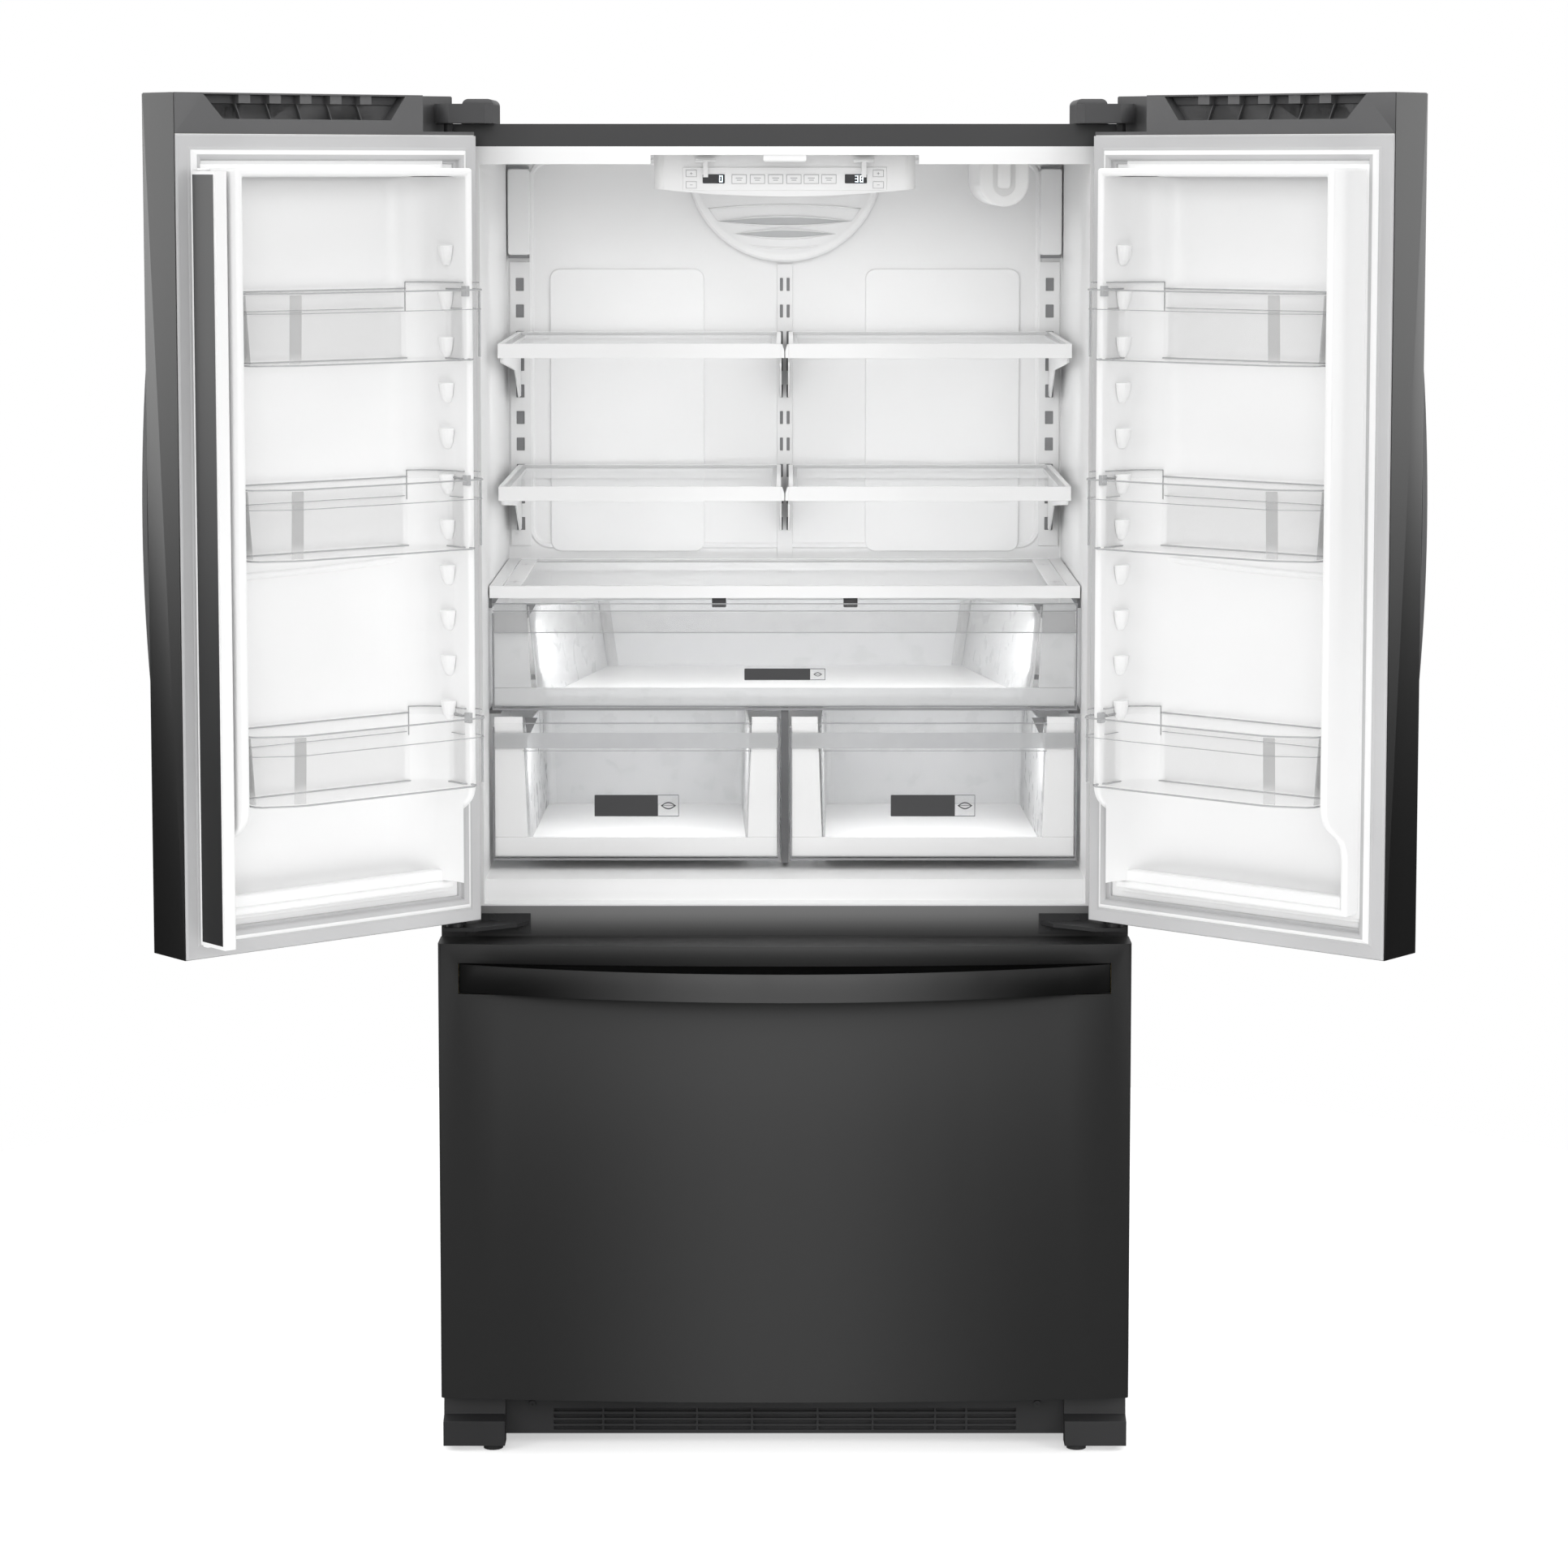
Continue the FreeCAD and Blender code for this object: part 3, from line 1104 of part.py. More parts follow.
os.makedirs("parts", exist_ok=True)
build_case()
build_room()
build_doors()
build_freezer()
build_machinery()
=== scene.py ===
import json
import math

import bmesh
import bpy
from mathutils import Matrix, Vector


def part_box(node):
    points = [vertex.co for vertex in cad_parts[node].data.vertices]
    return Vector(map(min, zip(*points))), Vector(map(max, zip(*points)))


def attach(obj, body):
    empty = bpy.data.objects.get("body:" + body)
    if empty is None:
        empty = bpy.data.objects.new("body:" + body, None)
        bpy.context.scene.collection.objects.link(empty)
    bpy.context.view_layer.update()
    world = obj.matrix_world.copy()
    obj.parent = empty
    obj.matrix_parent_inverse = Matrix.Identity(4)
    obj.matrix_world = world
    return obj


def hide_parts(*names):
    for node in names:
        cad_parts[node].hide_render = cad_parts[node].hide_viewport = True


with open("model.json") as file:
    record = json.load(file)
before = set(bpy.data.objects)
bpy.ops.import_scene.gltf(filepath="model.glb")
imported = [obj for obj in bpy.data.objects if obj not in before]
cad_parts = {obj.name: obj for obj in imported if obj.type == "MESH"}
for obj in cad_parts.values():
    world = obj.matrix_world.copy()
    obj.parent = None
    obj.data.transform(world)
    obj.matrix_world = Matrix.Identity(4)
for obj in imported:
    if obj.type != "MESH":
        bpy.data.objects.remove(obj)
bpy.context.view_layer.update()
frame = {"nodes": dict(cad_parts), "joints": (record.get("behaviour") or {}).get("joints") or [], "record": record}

# ---------------------------------------------------------------- driving sizes, metres
MM = 0.001
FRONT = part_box("cabinet_wrapper")[0].y           # front plane of the case
HINGE = {j["name"]: j for j in frame["joints"]}
OPEN_ANGLE = math.radians(140)

# ---------------------------------------------------------------- driving sizes, millimetres
# x across from the middle, y back from the front plane, z up from the floor
WALL_Y = 540.0                                   # back wall of the fresh-food room
LADDER_Y = 538.6                                 # just ahead of the shelf ladders' faces
LADDER_X = 378.0                                 # the side ladders; the middle one is at 0
LADDER_FIRST, LADDER_PITCH = 1524.0, 38.0        # its top slot and their spacing
SHELF_FRONT = 108.0                              # front of shelves, cover and drawers
SHELF_TOPS = {"upper": 1457.0, "lower": 1267.0}
COVER_TOP = 1133.2                               # glass over the drawers
PAN_BACK = 498.0                                 # back of the drawers' pans
KEY_FACE_Y = 81.75                               # face of the key overlay
DISPLAY_X, DISPLAY_Z = 93.5, 1675.0
MULLION_FOOT, MULLION_HEAD = 733.5, 1686.0
BIN_FLOORS = (1448, 1209, 906)
BIN_TALL = 90
SIDES = ((-1, "left_door"), (1, "right_door"))


# ---------------------------------------------------------------- material helpers
def new_material(name):
    material = bpy.data.materials.new(name)
    material.use_nodes = True
    nodes = material.node_tree.nodes
    links = material.node_tree.links
    return material, nodes, links, nodes["Principled BSDF"]


def set_input(material, socket, value):
    material.node_tree.nodes["Principled BSDF"].inputs[socket].default_value = value


def noise_node(nodes, links, scale, detail):
    coords = nodes.new("ShaderNodeTexCoord")
    noise = nodes.new("ShaderNodeTexNoise")
    noise.inputs["Scale"].default_value = scale
    noise.inputs["Detail"].default_value = detail
    links.new(coords.outputs["Object"], noise.inputs["Vector"])
    return noise


def ramp_node(nodes, links, source, low, high, positions=(0.35, 0.65)):
    ramp = nodes.new("ShaderNodeValToRGB")
    ramp.color_ramp.elements[0].position = positions[0]
    ramp.color_ramp.elements[1].position = positions[1]
    ramp.color_ramp.elements[0].color = (*low, 1)
    ramp.color_ramp.elements[1].color = (*high, 1)
    links.new(source, ramp.inputs["Fac"])
    return ramp


def add_bump(nodes, links, shader, source, strength, distance):
    bump = nodes.new("ShaderNodeBump")
    bump.inputs["Strength"].default_value = strength
    bump.inputs["Distance"].default_value = distance
    links.new(source, bump.inputs["Height"])
    links.new(bump.outputs["Normal"], shader.inputs["Normal"])


def vary_roughness(nodes, links, shader, source, low, high):
    span = nodes.new("ShaderNodeMapRange")
    span.inputs["To Min"].default_value = low
    span.inputs["To Max"].default_value = high
    links.new(source, span.inputs["Value"])
    links.new(span.outputs["Result"], shader.inputs["Roughness"])


def moulded(name, low, high, rough, grain, bump):
    """Moulded plastic or paint: slight tone drift, fine grain, uneven gloss."""
    material, nodes, links, shader = new_material(name)
    drift = noise_node(nodes, links, 3.0, 2.0)
    tone = ramp_node(nodes, links, drift.outputs["Fac"], low, high)
    links.new(tone.outputs["Color"], shader.inputs["Base Color"])
    grains = noise_node(nodes, links, grain, 4.0)
    vary_roughness(nodes, links, shader, drift.outputs["Fac"], rough[0], rough[1])
    add_bump(nodes, links, shader, grains.outputs["Fac"], bump, 0.0004)
    return material


def metal(name, low, high, rough):
    """Bare or plated steel with a grain drawn upwards."""
    material, nodes, links, shader = new_material(name)
    coords = nodes.new("ShaderNodeTexCoord")
    stretch = nodes.new("ShaderNodeMapping")
    stretch.inputs["Scale"].default_value = (4.0, 4.0, 400.0)
    links.new(coords.outputs["Object"], stretch.inputs["Vector"])
    noise = nodes.new("ShaderNodeTexNoise")
    noise.inputs["Scale"].default_value = 6.0
    noise.inputs["Detail"].default_value = 5.0
    links.new(stretch.outputs["Vector"], noise.inputs["Vector"])
    tone = ramp_node(nodes, links, noise.outputs["Fac"], low, high)
    links.new(tone.outputs["Color"], shader.inputs["Base Color"])
    shader.inputs["Metallic"].default_value = 1.0
    vary_roughness(nodes, links, shader, noise.outputs["Fac"], rough[0], rough[1])
    add_bump(nodes, links, shader, noise.outputs["Fac"], 0.05, 0.0003)
    return material


def clear(name, tint, rough, weight):
    """Clear moulded plastic or glass, a little hazy; weight is how much shows through."""
    material, nodes, links, shader = new_material(name)
    haze = noise_node(nodes, links, 40.0, 3.0)
    tone = ramp_node(nodes, links, haze.outputs["Fac"], tuple(c * 0.97 for c in tint), tint)
    links.new(tone.outputs["Color"], shader.inputs["Base Color"])
    vary_roughness(nodes, links, shader, haze.outputs["Fac"], rough, rough + 0.06)
    shader.inputs["IOR"].default_value = 1.45
    glass = nodes.new("ShaderNodeBsdfTransparent")
    glass.inputs["Color"].default_value = (*tint, 1)
    mix = nodes.new("ShaderNodeMixShader")
    mix.inputs["Fac"].default_value = 1.0 - weight
    output = nodes["Material Output"]
    links.new(glass.outputs["BSDF"], mix.inputs[1])
    links.new(shader.outputs["BSDF"], mix.inputs[2])
    links.new(mix.outputs["Shader"], output.inputs["Surface"])
    return material


BLACK = moulded("black_paint", (0.016, 0.016, 0.0165), (0.02, 0.02, 0.0205), (0.36, 0.42), 700, 0.03)
DARK = moulded("dark_plastic", (0.045, 0.045, 0.047), (0.06, 0.06, 0.062), (0.42, 0.55), 1400, 0.2)
HARDWARE = moulded("black_hardware", (0.02, 0.02, 0.021), (0.035, 0.035, 0.036), (0.35, 0.5), 900, 0.15)
CAP = moulded("cap_plastic", (0.095, 0.095, 0.097), (0.11, 0.11, 0.112), (0.42, 0.5), 1400, 0.12)
RECESS = moulded("cap_recess", (0.1, 0.1, 0.101), (0.11, 0.11, 0.111), (0.5, 0.6), 1400, 0.12)
GRILLE = moulded("grille_plastic", (0.022, 0.022, 0.023), (0.03, 0.03, 0.031), (0.4, 0.5), 1400, 0.12)
# Near black, for sheets of painted shadow.
PAINTED_SHADOW = moulded("shadow_gap", (0.003,) * 3, (0.005,) * 3, (0.7, 0.8), 900, 0.05)
WHITE = moulded("white_plastic", (0.85,) * 3, (0.885,) * 3, (0.32, 0.42), 600, 0.05)
RUBBER = moulded("gasket_rubber", (0.5, 0.5, 0.505), (0.56, 0.56, 0.565), (0.45, 0.6), 1100, 0.15)
# Lighter rubber: a painted highlight along the gasket's bead.
BEAD_HIGHLIGHT = moulded("gasket_bead", (0.85,) * 3, (0.89,) * 3, (0.3, 0.4), 1100, 0.05)
LADDER = moulded("ladder_paint", (0.79,) * 3, (0.85,) * 3, (0.35, 0.45), 800, 0.08)
FOAM = moulded("foam", (0.7, 0.6, 0.3), (0.8, 0.7, 0.4), (0.8, 0.95), 200, 0.5)
KEYS = moulded("key_overlay", (0.87,) * 3, (0.91,) * 3, (0.35, 0.45), 900, 0.05)
WHEEL = moulded("wheel_plastic", (0.05,) * 3, (0.08,) * 3, (0.5, 0.7), 900, 0.2)
ZINC = metal("zinc_steel", (0.5, 0.51, 0.53), (0.62, 0.63, 0.65), (0.3, 0.45))
FINS = metal("fin_aluminium", (0.6, 0.61, 0.62), (0.75, 0.76, 0.77), (0.3, 0.42))
CLEAR = clear("clear_plastic", (0.998,) * 3, 0.08, 0.97)
# Greyer white for the painted shade of the filter's well.
WELL_SHADE_WHITE = moulded("shaded_white", (0.725,) * 3, (0.765,) * 3, (0.4, 0.5), 500, 0.04)
PAN = clear("milky_pan", (0.84, 0.845, 0.85), 0.25, 0.4)
# The real rims, lips and lines of the clear parts, drawn darker as painted shade of clear plastic seen edge on.
EDGE = clear("clear_edge", (0.62, 0.625, 0.63), 0.1, 0.45)
# Hazier clear plastic: painted highlights where the bins are seen edge on and along the deli's rim, and the deli's
# painted corner shades.
STRIPE = clear("clear_stripe", (0.94,) * 3, 0.1, 0.88)
GLASS = clear("shelf_glass", (0.955, 0.956, 0.957), 0.03, 0.84)
LINER_WHITE = moulded("liner_white", (0.86,) * 3, (0.9,) * 3, (0.28, 0.36), 500, 0.04)
MILKY = moulded("milky_plastic", (0.86,) * 3, (0.9,) * 3, (0.2, 0.3), 500, 0.03)
GREY_TRIM = moulded("grey_trim", (0.25, 0.25, 0.26), (0.32, 0.32, 0.33), (0.3, 0.4), 600, 0.05)
FROST = clear("frosted_strip", (0.74, 0.745, 0.75), 0.35, 0.5)
LABEL = moulded("label_grey", (0.05, 0.05, 0.052), (0.06, 0.06, 0.062), (0.5, 0.6), 500, 0.03)
# Grey for painted shade: in the ladders' slots, at the corner blocks' ends, in the drawer fronts' gaps and on the
# crisper rails between the crispers.
SHADE_GREY = moulded("slot_grey", (0.2, 0.2, 0.205), (0.26, 0.26, 0.265), (0.5, 0.7), 500, 0.05)
# Grey for the painted shade in the diffuser's vent mouths.
MOUTH_SHADE = moulded("vent_mouth", (0.5, 0.505, 0.51), (0.56, 0.565, 0.57), (0.5, 0.6), 500, 0.05)
MARK_GREY = moulded("mark_grey", (0.3, 0.3, 0.31), (0.36, 0.36, 0.37), (0.4, 0.5), 500, 0.02)
DISPLAY = moulded("display_black", (0.01, 0.01, 0.012), (0.015, 0.015, 0.018), (0.1, 0.16), 300, 0.02)
GLOW = moulded("digit_glow", (0.8, 0.9, 1.0), (0.85, 0.95, 1.0), (0.3, 0.4), 300, 0.02)
set_input(PAINTED_SHADOW, "Specular IOR Level", 0.0)
set_input(GLOW, "Emission Color", (0.85, 0.95, 1.0, 1))
set_input(GLOW, "Emission Strength", 1.5)


def painted_light_gradient(name, axis, start, stop, first, last, specular=0.3):
    """A black paint with painted light: its tone eases from first to last along one axis, measured from the
    middle, as painted reflection or painted shade.
    """
    material, nodes, links, shader = new_material(name)
    coords = nodes.new("ShaderNodeTexCoord")
    split = nodes.new("ShaderNodeSeparateXYZ")
    links.new(coords.outputs["Object"], split.inputs["Vector"])
    size = nodes.new("ShaderNodeMath")
    size.operation = "ABSOLUTE"
    links.new(split.outputs[axis], size.inputs[0])
    ease = nodes.new("ShaderNodeMapRange")
    ease.interpolation_type = "SMOOTHSTEP"
    ease.inputs["From Min"].default_value = start
    ease.inputs["From Max"].default_value = stop
    links.new(size.outputs["Value"], ease.inputs["Value"])
    tone = ramp_node(nodes, links, ease.outputs["Result"], (first,) * 3, (last,) * 3, (0.0, 1.0))
    links.new(tone.outputs["Color"], shader.inputs["Base Color"])
    grains = noise_node(nodes, links, 700.0, 4.0)
    vary_roughness(nodes, links, shader, grains.outputs["Fac"], 0.4, 0.46)
    shader.inputs["Specular IOR Level"].default_value = specular
    return material


# Freezer front: painted reflection, lighter in the middle and darker towards the sides.
FRONT_REFLECTION_PAINT = painted_light_gradient("front_paint", "X", 0.02, 0.36, 0.037, 0.018)
# Freezer handle bar: painted reflection, lighter in the middle and near black at its ends.
HANDLE_REFLECTION_PAINT = painted_light_gradient("handle_paint", "X", 0.05, 0.36, 0.06, 0.004, 0.25)
# Mullion rail: painted reflection, lighter along its top.
RAIL_REFLECTION_PAINT = painted_light_gradient("rail_paint", "Z", 0.68, 0.715, 0.04, 0.2)
# Door skins: painted shade, darker towards the bottom.
DOOR_SHADE_PAINT = painted_light_gradient("door_paint", "Z", 0.8, 1.5, 0.006, 0.018, 0.5)
SOFT_BLACK = moulded("soft_black", (0.03, 0.03, 0.031), (0.036, 0.036, 0.037), (0.36, 0.42), 700, 0.03)
NODE_MATERIAL = {
    "left_door_caps": CAP, "right_door_caps": CAP, "left_door_skin": DOOR_SHADE_PAINT,
    "right_door_skin": DOOR_SHADE_PAINT, "freezer_front_skin": FRONT_REFLECTION_PAINT, "freezer_handle": HANDLE_REFLECTION_PAINT,
    "mullion_rail": RAIL_REFLECTION_PAINT, "cabinet_wrapper": SOFT_BLACK, "base_grille": GRILLE, "screws": HARDWARE,
    # The crisper rails are in painted shade grey, for the shade in the gap between the crispers.
    "crisper_rails": SHADE_GREY,
}
SLOT_MATERIAL = {
    "black_steel": BLACK, "dark_plastic": DARK, "white_plastic": WHITE, "insulation": FOAM,
    "gasket_rubber": RUBBER, "clear_plastic": CLEAR, "shelf_glass": GLASS, "key_overlay": KEYS,
    "zinc_steel": ZINC, "black_hardware": HARDWARE, "ladder_steel": LADDER, "fin_aluminium": FINS,
    "wheel_plastic": WHEEL,
}


# ---------------------------------------------------------------- CAD nodes: material and softened edges
def finish_cad_nodes():
    slots = {p["node"]: p["material_slot"] for p in frame["record"]["subparts"]}
    for name, node in frame["nodes"].items():
        material = NODE_MATERIAL.get(name, SLOT_MATERIAL[slots[name]])
        node.data.materials.clear()
        node.data.materials.append(material)
        soften(node)


def soften(node):
    weld = node.modifiers.new("weld", "WELD")
    weld.merge_threshold = 0.00002
    bevel = node.modifiers.new("bevel", "BEVEL")
    bevel.width = 0.0008
    bevel.segments = 2
    bevel.limit_method = "ANGLE"
    bevel.angle_limit = math.radians(35)
    bevel.harden_normals = True
    bevel.use_clamp_overlap = True


finish_cad_nodes()


# ---------------------------------------------------------------- mesh helpers
# Shapes are written in millimetres with the doors closed, x across, y back from the case's front
# plane, z up. to_row() turns them into the frame, and swing() takes a door's pieces to the open rest
# position.
def to_row(point):
    x, y, z = point
    return Vector((x * MM, FRONT + y * MM, z * MM))


def swing(point, side):
    """A point of a closed door, taken to the open rest position; side is -1 left, 1 right."""
    pivot = Vector(HINGE["left_door_hinge"]["pos_m"])
    turn = Matrix.Rotation(-OPEN_ANGLE, 3, "Z")
    placed = to_row(point)
    offset = turn @ Vector((placed.x - pivot.x, placed.y - pivot.y, 0))
    return Vector((-side * (pivot.x + offset.x), pivot.y + offset.y, placed.z))


def solid_object(name, verts, faces, side):
    """An object with its faces turned outwards; side is -1 or 1 for one drawn on the closed left door."""
    mesh = bpy.data.meshes.new(name)
    points = [swing(v, side) if side else to_row(v) for v in verts]
    mesh.from_pydata([tuple(p) for p in points], [], faces)
    bm = bmesh.new()
    bm.from_mesh(mesh)
    bmesh.ops.recalc_face_normals(bm, faces=bm.faces)
    bm.to_mesh(mesh)
    bm.free()
    solid = bpy.data.objects.new(name, mesh)
    bpy.context.scene.collection.objects.link(solid)
    return solid


def build(name, verts, faces, material, body, slot, side=0, replaces=()):
    """A piece that rides on a body. side is -1 or 1 for a piece drawn on the closed left door."""
    piece = solid_object(name, verts, faces, side)
    piece.data.materials.append(material)
    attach(piece, body)
    if replaces:
        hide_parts(*replaces)
    return piece


def ring_faces(count, levels):
    """Faces between rings of count points, stacked in order."""
    faces = []
    for level in range(levels - 1):
        for i in range(count):
            j = (i + 1) % count
            low = level * count
            faces.append((low + i, low + j, low + count + j, low + count + i))
    return faces


def loft(rings, cap_start=True, cap_end=True):
    """Joins rings of equal length into a skin."""
    count = len(rings[0])
    verts = [v for ring in rings for v in ring]
    faces = ring_faces(count, len(rings))
    if cap_start:
        faces.append(tuple(range(count)))
    if cap_end:
        start = (len(rings) - 1) * count
        faces.append(tuple(start + i for i in range(count)))
    return verts, faces


def hoop(rings):
    """Joins rings of equal length into a closed hoop, the last ring back to the first."""
    verts, faces = loft(rings, False, False)
    count = len(rings[0])
    last = (len(rings) - 1) * count
    faces += [(last + i, last + (i + 1) % count, (i + 1) % count, i) for i in range(count)]
    return verts, faces


def slab(x0, x1, y0, y1, z0, z1):
    low = [(x0, y0, z0), (x1, y0, z0), (x1, y1, z0), (x0, y1, z0)]
    high = [(x, y, z1) for x, y, z in low]
    return loft([low, high])


def prism_x(outline, x0, x1):
    return loft([[(x0, y, z) for y, z in outline], [(x1, y, z) for y, z in outline]])


def prism_y(outline, y0, y1):
    return loft([[(x, y0, z) for x, z in outline], [(x, y1, z) for x, z in outline]])


def prism_z(outline, z0, z1):
    return loft([[(x, y, z0) for x, y in outline], [(x, y, z1) for x, y in outline]])


def joined(*parts):
    verts = []
    faces = []
    for part_verts, part_faces in parts:
        start = len(verts)
        verts += part_verts
        faces += [tuple(start + i for i in face) for face in part_faces]
    return verts, faces


def arc(centre, radius, start, end, steps):
    points = []
    for i in range(steps + 1):
        angle = math.radians(start + (end - start) * i / steps)
        points.append((centre[0] + radius * math.cos(angle), centre[1] + radius * math.sin(angle)))
    return points


def round_rect(x0, x1, z0, z1, radius, steps=6):
    """Outline of a rectangle with round corners, anticlockwise."""
    outline = []
    outline += arc((x1 - radius, z0 + radius), radius, -90, 0, steps)
    outline += arc((x1 - radius, z1 - radius), radius, 0, 90, steps)
    outline += arc((x0 + radius, z1 - radius), radius, 90, 180, steps)
    outline += arc((x0 + radius, z0 + radius), radius, 180, 270, steps)
    return outline


def bezier(p0, p1, p2, p3, steps=12):
    points = []
    for i in range(steps + 1):
        t = i / steps
        a, b, c, d = (1 - t) ** 3, 3 * t * (1 - t) ** 2, 3 * t * t * (1 - t), t ** 3
        points.append((a * p0[0] + b * p1[0] + c * p2[0] + d * p3[0],
                       a * p0[1] + b * p1[1] + c * p2[1] + d * p3[1]))
    return points


def carve(piece, verts, faces, side):
    """Cuts a shape, given by its points and faces, out of the piece."""
    cutter = solid_object("cutter", verts, faces, side)
    cut = piece.modifiers.new("cut", "BOOLEAN")
    cut.operation = "DIFFERENCE"
    cut.solver = "EXACT"
    cut.object = cutter
    graph = bpy.context.evaluated_depsgraph_get()
    mesh = bpy.data.meshes.new_from_object(piece.evaluated_get(graph))
    piece.modifiers.clear()
    piece.data = mesh
    bpy.data.objects.remove(cutter)


def rounded_edges(piece, width, segments, angle=30):
    bevel = piece.modifiers.new("bevel", "BEVEL")
    bevel.width = width * MM
    bevel.segments = segments
    bevel.limit_method = "ANGLE"
    bevel.angle_limit = math.radians(angle)
    bevel.harden_normals = True


def smooth(piece):
    for face in piece.data.polygons:
        face.use_smooth = True
    piece.data.set_sharp_from_angle(angle=math.radians(35))


# ---------------------------------------------------------------- doors
def bin_outline(shrink, inset):
    """Plan of a door bin; shrink tapers it towards its floor, inset steps in from the wall."""
    s = shrink + inset
    return [
        (-375 + inset, -8 + inset), (-375 + inset, 60), (-390 + s, 66 + inset * 0.3),
        (-390 + s, 84 - s * 0.4), (-382 + s, 97 - s), (-374 + s * 0.5, 100 - s),
        (-112 - s * 0.5, 100 - s), (-96 - s * 0.5, 96 - s), (-55 - s, 73 - s * 0.4),
        (-50 - s, 66 - s * 0.4), (-50 - inset - shrink * 0.5, -8 + inset),
    ]


def bin_hoop(z0, z1, shrink, width):
    """A thin band that follows the bin's outside."""
    def ring(z, inset):
        return [(x, y, z) for x, y in bin_outline(shrink, inset)]

    return hoop([ring(z0, 0), ring(z1, 0), ring(z1, width), ring(z0, width)])


def wall_along(path, z0, z1, thickness):
    """A thin upright wall that follows a plan path."""
    plan = path + [(x + thickness * 0.7, y + thickness * 0.7) for x, y in path[::-1]]
    return prism_z(plan, z0, z1)


CREST_LINE = [(-336, -5), (-352, 4), (-366, 20), (-375, 44), (-375, 62), (-389, 68), (-389, 82)]


def bin_shell(side, body, name, floor, top, rib):
    """The clear shell, a little wider above its rib line, and the hoops along its edges."""
    def ring(z, shrink, inset):
        return [(x, y, z) for x, y in bin_outline(shrink, inset)]

    rings = [
        ring(floor + 2, 9, 0), ring(rib - 2, 2.6, 0), ring(rib - 1.4, 1.0, 0), ring(rib, 1.0, 0),
        ring(top - 2, 0, 0), ring(top - 2, 0, 2.2), ring(rib, 1.2, 2.2), ring(floor + 3.4, 9, 2.4),
    ]
    shell = build(name, *loft(rings), CLEAR, body, "clear_plastic", side)
    rounded_edges(shell, 0.6, 2, 20)
    shell.visible_shadow = False
    hoops = joined(bin_hoop(top - 1.9, top, -0.2, 2.4), bin_hoop(floor, floor + 1.9, 9, 3.0),
                   bin_hoop(rib - 1.9, rib - 0.9, 0.6, 1.2))
    rim = build(name + "_rim", *hoops, EDGE, body, "clear_plastic", side)
    rounded_edges(rim, 0.4, 2)


def bin_stripes(side, body, name, floor, top):
    """Painted highlights at the bend of the front and at the free end, where the plastic is seen edge on."""
    bend = []
    end = []
    for z, s in ((floor + 3, 9), (top - 3, 0)):
        bend.append([(-111 - 0.5 * s, 99.6 - s, z), (-97 - 0.5 * s, 95.6 - s, z),
                     (-97 - 0.5 * s, 93.8 - s, z), (-111 - 0.5 * s, 97.8 - s, z)])
        end.append([(-51 - s, 64 - s * 0.4, z), (-51 - s, 2, z), (-53 - s, 2, z),
                    (-53 - s, 64 - s * 0.4, z)])
    stripes = build(name + "_stripes", *joined(loft(bend), loft(end)), STRIPE, body, "clear_plastic",
                    side)
    rounded_edges(stripes, 0.4, 2)
    stripes.visible_shadow = False


def bin_crest(side, body, name, floor, top):
    """The raised wall at the hinge end, its upper edge and its small hook."""
    crest = joined(wall_along(CREST_LINE, top - 3, top + 7.4, 1.4),
                   slab(-337, -335.6, -6, -4.6, top - 30, top + 7))
    raised = build(name + "_crest", *crest, CLEAR, body, "clear_plastic", side)
    rounded_edges(raised, 0.5, 2)
    raised.visible_shadow = False
    lip = joined(wall_along(CREST_LINE, top + 6.8, top + 8.2, 1.9),
                 slab(-337.2, -336, -6.2, -5, top - 30, top + 8),
                 slab(-380, -374, 64, 74, top - 10, top + 3),
                 slab(-389.6, -388.2, 80, 84, floor + 4, top - 3))
    hook = build(name + "_crest_edge", *lip, EDGE, body, "clear_plastic", side)
    rounded_edges(hook, 0.4, 2)


def door_bin(side, body, number, floor):
    name = "%s_bin_%d" % (body, number)
    top = floor + BIN_TALL
    bin_shell(side, body, name, floor, top, top - 24)
    bin_stripes(side, body, name, floor, top)
    bin_crest(side, body, name, floor, top)


DIKE = dict(outer=-387, free=-36, wall=10, top=1689, bottom=767, deep=73, shallow=24, foot=-13)
LINER_FOOT, LINER_HEAD = 778, 1678               # inside of the raised border


def dike_outline(inset):
    """Side view of the raised border: deep above, swept back below."""
    low = DIKE["bottom"] + inset
    high = DIKE["top"] - inset
    deep = DIKE["deep"] + (1 if inset else 0)
    shallow = DIKE["shallow"] + (1 if inset else 0)
    sweep = bezier((shallow, 838), (shallow, 878), (deep, 868), (deep, 908))
    return sweep + [(deep, high), (DIKE["foot"] - inset * 0.2, high), (DIKE["foot"] - inset * 0.2, low),
                    (shallow, low)]


def liner_piece(side, body, label, verts, faces, replaces=()):
    return build(body + label, verts, faces, LINER_WHITE, body, "white_plastic", side, replaces)


def dike(side, body):
    """The raised border round the door's inside, which carries the bins."""
    wall, outer, free = DIKE["wall"], DIKE["outer"], DIKE["free"]
    rim = liner_piece(side, body, "_dike", *prism_x(dike_outline(0), outer, free))
    carve(rim, *prism_x(dike_outline(wall), outer + wall, free - wall), side)
    rounded_edges(rim, 4.0, 4, 25)


def liner_steps(side, body):
    """Two low ledges that climb from the liner's plate to the border."""
    steps = [slab(-397, -27, -12.5, -6, 757, 1699), slab(-392, -31, -12.5, -1.5, 762, 1694)]
    for number, step in enumerate(steps):
        ledge = liner_piece(side, body, "_liner_step_%d" % number, *step)
        carve(ledge, *slab(-376, -47, -14, 5, LINER_FOOT, LINER_HEAD), side)
        rounded_edges(ledge, 1.6, 3)


